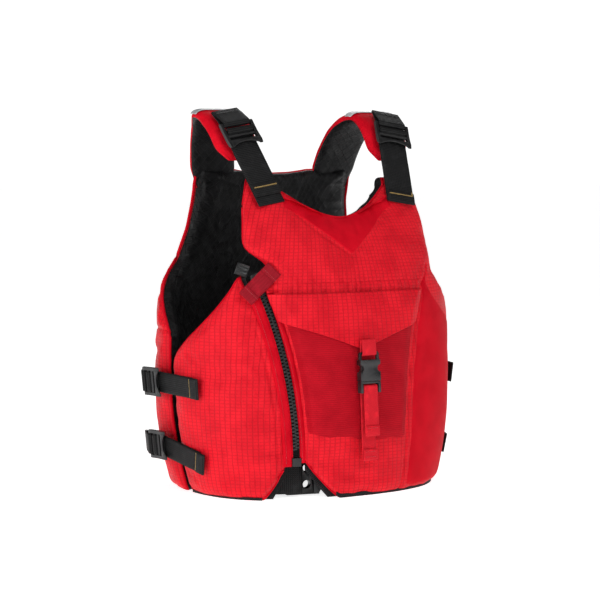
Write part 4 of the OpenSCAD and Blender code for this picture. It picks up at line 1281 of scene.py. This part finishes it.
def at_side(turn, bar):
    """A side lock's frame: X across the webbing, Y forwards along it, Z outwards."""
    mirror = np.array([turn, 1, 1])
    line = unit((UPPER_BAR - LOWER_BAR) * mirror) * turn
    ahead = np.array([-0.15 * turn, -0.98, 0])
    down = unit(ahead - line * (ahead @ line))
    return Frame(bar * mirror - BAR_Y * down - BAR_Z * np.cross(line, down), line, down)


def ladder_lock(name, where, web):
    """Two side rails, a round bar at the back, two ridged bars, and a thumb tab with a scooped edge."""
    lock = Moulding(name, where)
    half = web / 2 + 0.8
    rail = [(-16.2, 1.0), (-15.6, 3.6), (-13.6, 4.5), (-9, 4.3), (0, 4.3), (7, 5.0), (13, 5.9), (17.4, 5.2),
            (18.0, 3.8), (14.5, 1.2), (9, 0.1), (0, 0.0), (-13, 0.0)]
    for end in (-1, 1):
        x0, x1 = sorted((end * half, end * (half + 3.9)))
        lock.along_x(rail, x0, x1)
    lock.rod(-half - 0.5, half + 0.5, BAR_Y, BAR_Z, 2.0)
    for y in (-6.2, 0.9):
        ridge = [(y, 0.6), (y + 3.6, 0.6), (y + 3.6, 3.2), (y + 2.9, 4.2), (y + 2.2, 3.5), (y + 1.5, 4.2),
                 (y + 0.7, 3.5), (y, 3.9)]
        lock.along_x(ridge, -half - 0.5, half + 0.5)
    rings = []
    for x in np.linspace(-half - 0.5, half + 0.5, 25):
        share = abs(x) / half
        tip = 12.2 + 5.4 * min(share, 1) ** 2.2
        rings.append([(x, 8.2, 0.8), (x, 8.2, 4.4), (x, 9.6, 5.6), (x, 0.5 * (9.6 + tip), 6.3), (x, tip, 5.9),
                      (x, tip + 0.5, 5.0), (x, tip - 0.6, 3.6), (x, 10.4, 1.6)])
    lock.loft(rings)
    piece = lock.done(0.45)
    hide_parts(name)
    piece.name = name + "_moulded"
    return piece


def bartack(name, where, x0, x1, y, z, look="gold_thread", lengthwise=False):
    """A dense zigzag of thread across webbing at y, or lengthwise from x0 to x1 along it at X = y."""
    count = int(abs(x1 - x0) / 0.62)
    run = []
    for k in range(count + 1):
        x = x0 + (x1 - x0) * k / count
        wide = 0.85 if k % 2 else -0.85
        run += [(x, y + wide, z), (x, y + wide * 0.3, z + 0.32)]
    run = np.array(run)
    if lengthwise:
        run = run[:, [1, 0, 2]]
    return threads(name, [where.place(run)], 0.3, look, 5)


def cross_rows(name, where, rows, half, height, count, pitch):
    """Rows of red stitches across a ribbon, at the given places along it."""
    runs = []
    for y in rows:
        line = where.place([(x, y, height) for x in np.linspace(-half, half, count)])
        runs += stitched(line, where.turn([0, 0, 1]), pitch)
    return threads(name, runs, 0.26, "red_thread", 5)


def bend(middle, r, angles, side=1):
    """Points of webbing that turns round a bar, as (Y, Z) pairs; the angles are in degrees."""
    return [(middle + side * r * math.cos(a), r * math.sin(a)) for a in np.radians(angles)]


def wrapped_bar(name, where, web):
    """The webbing's turn over a lock's first ridged bar and down through its slot."""
    path = [(-9.6, -1.0), (-8.4, 2.8), (-6.4, 5.0), (-2.4, 5.0), (-0.6, 2.6), (0.2, -0.4), (4.0, -0.9)]
    return strap(name, where, path, web - 0.8, THICK, "black_webbing", step=0.8)


def tail_path(length, fold):
    """Loose end: flat along the strap, then folded back over itself at the tip."""
    low, high = -1.15, 0.45
    return [(-1, low + 0.3), (8, low), (length * 0.5, low + 0.25), (length - 10, low), (length - 1.4, low),
            (length - 0.35, low + 0.35), (length - 0.35, high - 0.35), (length - 1.4, high),
            (length - fold * 0.6, high + 0.25), (length - fold, high - 0.1)]


for word, turn in SIDES.items():
    where = at_shoulder(turn)
    lock = ladder_lock(f"shoulder_lock_{word}", where, WIDE)
    ride_all(f"shoulder_lock_{word}", lock, wrapped_bar(f"shoulder_lock_wrap_{word}", where, WIDE))
    length = 84 if word == "right" else 98
    tail = strap(f"shoulder_loose_end_{word}", where, tail_path(length, 15), WIDE, THICK, "black_webbing",
                 step=1.2, seed=3 + turn)
    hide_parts(f"shoulder_tail_{word}")
    tack = bartack(f"shoulder_bartack_{word}", where, -16.5, 16.5, length - 11, 1.35)
    ride_all(f"shoulder_tail_{word}", tail, tack)
    if word == "left":
        foot = bartack("shoulder_bartack_foot_left", where, length - 16.5, length - 11, -16.0, 1.35,
                       lengthwise=True)
        ride_all("shoulder_tail_left", foot)
    web = strap(f"shoulder_strap_{word}", where, [(-4, -1.6), (4, -2.7), (30, -3.1), (60, -2.95), (96, -2.95)],
                WIDE, THICK, "black_webbing", seed=5 + turn)
    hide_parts(f"shoulder_web_{word}")
    ride_all("front", web)


def loop_path(length, gap):
    """Webbing round a lock's bar: both legs run back and meet where they are sewn down."""
    r = 3.1
    legs = [(-length, gap), (-length * 0.6, 2.0), (-4, r)]
    return legs + bend(0, r, [80, 45, 0, -45, -80]) + [(y, -z) for y, z in reversed(legs)]


def bar_loop(name, where, web, length, droop):
    """The webbing loop that holds a lock's round bar, turned down by droop degrees; gives its frame."""
    turned = where.moved((0, BAR_Y, BAR_Z), x_turn=droop)
    piece = strap(name, turned, loop_path(length, 0.85), web, THICK, "black_webbing", step=1.0)
    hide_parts("lock_loops")
    ride_all("front", piece)
    return turned


for word, turn in SIDES.items():
    turned = bar_loop(f"shoulder_lock_loop_{word}", at_shoulder(turn), WIDE, 26, 22)
    ride_all("front", bartack(f"shoulder_loop_tack_{word}", turned, -16, 16, -20, 2.6, "black_thread"))
    for level, bar, droop, slope in (("upper", UPPER_BAR, 35, 3), ("lower", LOWER_BAR, 25, 12)):
        where = at_side(turn, bar)
        bar_loop(f"side_lock_loop_{level}_{word}", where, NARROW, 28, droop)
        lock = ladder_lock(f"side_lock_{level}_{word}", where, NARROW)
        wrap = wrapped_bar(f"side_lock_wrap_{level}_{word}", where, NARROW)
        ride_all(f"side_lock_{level}_{word}", lock, wrap)
        sloped = where.moved((0, 0, 0), z_turn=turn * slope)
        tail = strap(f"side_loose_end_{level}_{word}", sloped, tail_path(86, 14), NARROW, THICK,
                     "black_webbing", step=1.2, seed=7 + turn)
        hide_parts(f"side_tail_{level}_{word}")
        tack = bartack(f"side_bartack_{level}_{word}", sloped, -10.8, 10.8, 70.5, -0.35)
        ride_all(f"side_tail_{level}_{word}", tail, tack)
        web = strap(f"side_strap_{level}_{word}", sloped, [(-4, -1.6), (4, -2.7), (30, -3.0), (74, -2.95)],
                    NARROW, THICK, "black_webbing", seed=9 + turn)
        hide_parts(f"side_webs_{word}")
        ride_all("side_panel" if word == "right" else "front", web)


# ---------- zip ----------
def zip_tape(name, turn, node):
    """One zip tape; turn is 1 on the front panel's side and -1 on the side panel's."""
    angles = np.linspace(-zip_angle(3.0), zip_sweep + zip_angle(1.2), 90)
    frames = [at_zip(a) for a in angles]
    middle = [f.place([turn * 6.7, 0.15 * math.sin(k), 0]) for k, f in enumerate(frames)]
    across = [f.turn([1, 0, 0]) for f in frames]
    piece = ribbon(name, middle, np.array(across), 5.2, 0.9, "plain_red", ripple=0.1)
    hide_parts(node)
    return piece


def zip_teeth(name, turn, node):
    """One row of hooked teeth, half a step from the other row."""
    step, first = zip_angle(4.2), zip_angle(13)
    teeth = Moulding(name, Frame([0, 0, 0], [1, 0, 0], [0, 1, 0]))
    outline = [(4.0, -1.3), (4.0, 1.3), (1.7, 1.2), (1.0, 0.75), (0.2, 1.1), (-0.7, 0.95), (-1.1, 0.0),
               (-0.7, -0.95), (0.2, -1.1), (1.0, -0.75), (1.7, -1.2)]
    for k in range(int((zip_sweep - first) / step) - 1):
        where = at_zip(first + (k + (0 if turn > 0 else 0.5)) * step)
        rings = [[where.place((turn * x * sx, y, z * sx)) for x, z in outline]
                 for y, sx in ((-1.6, 0.94), (-1.2, 1.0), (1.0, 1.0), (1.65, 0.84))]
        teeth.loft(rings)
    piece = teeth.done(0.22, 2)
    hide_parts(node)
    return piece


ride_all("front", zip_tape("zip_tape_front_woven", 1, "zip_tape_front"),
         zip_teeth("zip_teeth_front_moulded", 1, "zip_teeth_front"))
ride_all("side_panel", zip_tape("zip_tape_side_woven", -1, "zip_tape_side"),
         zip_teeth("zip_teeth_side_moulded", -1, "zip_teeth_side"))
ride_all("zip_slider", moulded_copy("zip_slider", "black_plastic", 0.35))
for node in ("zip_garage", "zip_end_box"):
    ride_all("front", moulded_copy(node, "black_plastic", 0.5))

# Webbing keeper over the parked slider: both ends are folded and stitched.
KEEPER_DOWN, KEEPER_TURN, KEEPER_HEIGHT, KEEPER_LENGTH = 4.4, -22, 9.2, 50
top_frame = at_zip(zip_angle(KEEPER_DOWN))
a = math.radians(KEEPER_TURN)
keeper_along = top_frame.turn([math.cos(a), 0, -math.sin(a)])
keeper_frame = Frame(top_frame.place([0, KEEPER_HEIGHT, 0]) - 0.5 * KEEPER_LENGTH * keeper_along,
                     top_frame.turn([math.sin(a), 0, math.cos(a)]), keeper_along, top_frame.turn([0, 1, 0]))
keeper_path = [(12.5, 2.1), (6, 2.35), (1.6, 2.25), (0.5, 1.9), (0.5, 1.1), (1.6, 0.75), (12, 0.8), (25, 0.95),
               (38, 0.8), (48.4, 0.75), (49.5, 1.1), (49.5, 1.9), (48.4, 2.25), (44, 2.35), (37.5, 2.1)]
keeper = strap("keeper_webbing", keeper_frame, keeper_path, 21, 1.35, "dark_red_webbing", step=0.9)
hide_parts("zip_keeper")
keeper_rows = cross_rows("keeper_stitches", keeper_frame, (9.5, 40.5), 10.5, 3.05, 12, 2.6)
ride_all("zip_keeper", keeper, keeper_rows)

# ---------- pocket buckle and its webbing ----------
BUCKLE_Z, BUCKLE_PROUD, BUCKLE_TILT = 150.0, 14.2, math.radians(-4)
# Ribbons run in Y and Z of their frame, so this one has the strap's length along Y and out along Z.
strap_frame = Frame([0, -front_at(BUCKLE_Z) - BUCKLE_PROUD, BUCKLE_Z], [1, 0, 0],
                    [0, -math.sin(BUCKLE_TILT), math.cos(BUCKLE_TILT)],
                    [0, -math.cos(BUCKLE_TILT), -math.sin(BUCKLE_TILT)])


def socket_loop(r, bar, top):
    """The flap's webbing round the socket's bar, with both ends in the flap."""
    arc = bend(bar, r, [80, 40, 0, -40, -80], -1)
    return [(top, 1.6), (bar + 8, r - 0.1)] + arc + [(bar + 8, -r + 0.1), (top, -1.6)]


tab = strap("flap_tip_webbing", strap_frame, socket_loop(2.55, 22, 38), POCKET_WEB, 1.3, "red_webbing",
            step=0.8)
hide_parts("flap_tab")
ride_all("pocket_flap", tab, moulded_copy("pocket_buckle_socket", "buckle_plastic", 0.9))
foot = strap("pocket_strap_webbing", strap_frame,
             [(-14, -5.3), (-40, -5.3), (-70, -5.35), (-98, -5.35), (-104, -4.9), (-105.2, -3.9), (-104, -3.0),
              (-98, -2.7), (-92, -2.7)][::-1], POCKET_WEB, 1.35, "red_webbing")
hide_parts("pocket_strap")
r = 2.35
tail_line = [(-22, -r)] + bend(-18.2, r, [-80, -40, 0, 40, 80]) + [
    (-24, 2.4), (-45, 2.6), (-74.6, 2.4), (-75.7, 2.75), (-75.7, 3.5), (-74.6, 3.85),
    (-69, 4.0), (-64, 3.8)]
tail = strap("pocket_loose_end", strap_frame, tail_line, POCKET_WEB, 1.35, "red_webbing", step=0.9)
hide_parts("pocket_strap_tail")
stop_rows = cross_rows("pocket_tail_stitches", strap_frame, (-66.5,), 7.5, 4.75, 10, 2.4)
foot_rows = cross_rows("pocket_strap_stitches", strap_frame, (-95, -101), 7.5, -1.9, 10, 2.4)
ride_all("pocket_plug", tail, stop_rows, moulded_copy("pocket_buckle_plug", "buckle_plastic", 0.8))
ride_all("front", foot, foot_rows)

# ---------- waist belt ----------
BELT_Z, BELT_DEPTH = 23.0, 25.75
# From the middle of the front round the back to the wearer's right.
t = np.linspace(float(front_angle(4.0, BELT_Z)), 360 + float(front_angle(-82.0, BELT_Z)), 200)
line = skin(t, BELT_Z, BELT_DEPTH)
belt = ribbon("waist_belt", line, [0, 0, 1], WIDE, THICK, "black_webbing", ripple=0.25)
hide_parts("belt_web")
b = math.radians(-11.8)
belt_frame = Frame([-45, -95.2, BELT_Z], [0, 0, 1], [math.cos(b), math.sin(b), 0],
                   [-math.sin(b), math.cos(b), 0])
r = 2.75
plug_line = bend(-26, r, [-160, -120, -60, 0, 60]) + [(-28, r), (-34, r), (-42, r)]
plug_web = strap("belt_plug_webbing", belt_frame, plug_line, WIDE, THICK, "black_webbing", step=0.9)
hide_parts("belt_plug_web")
ride_all("belt_plug", plug_web, moulded_copy("belt_buckle_plug", "black_plastic", 0.8))
ride_all("front", belt, moulded_copy("belt_buckle_socket", "buckle_plastic", 0.9))

studio()
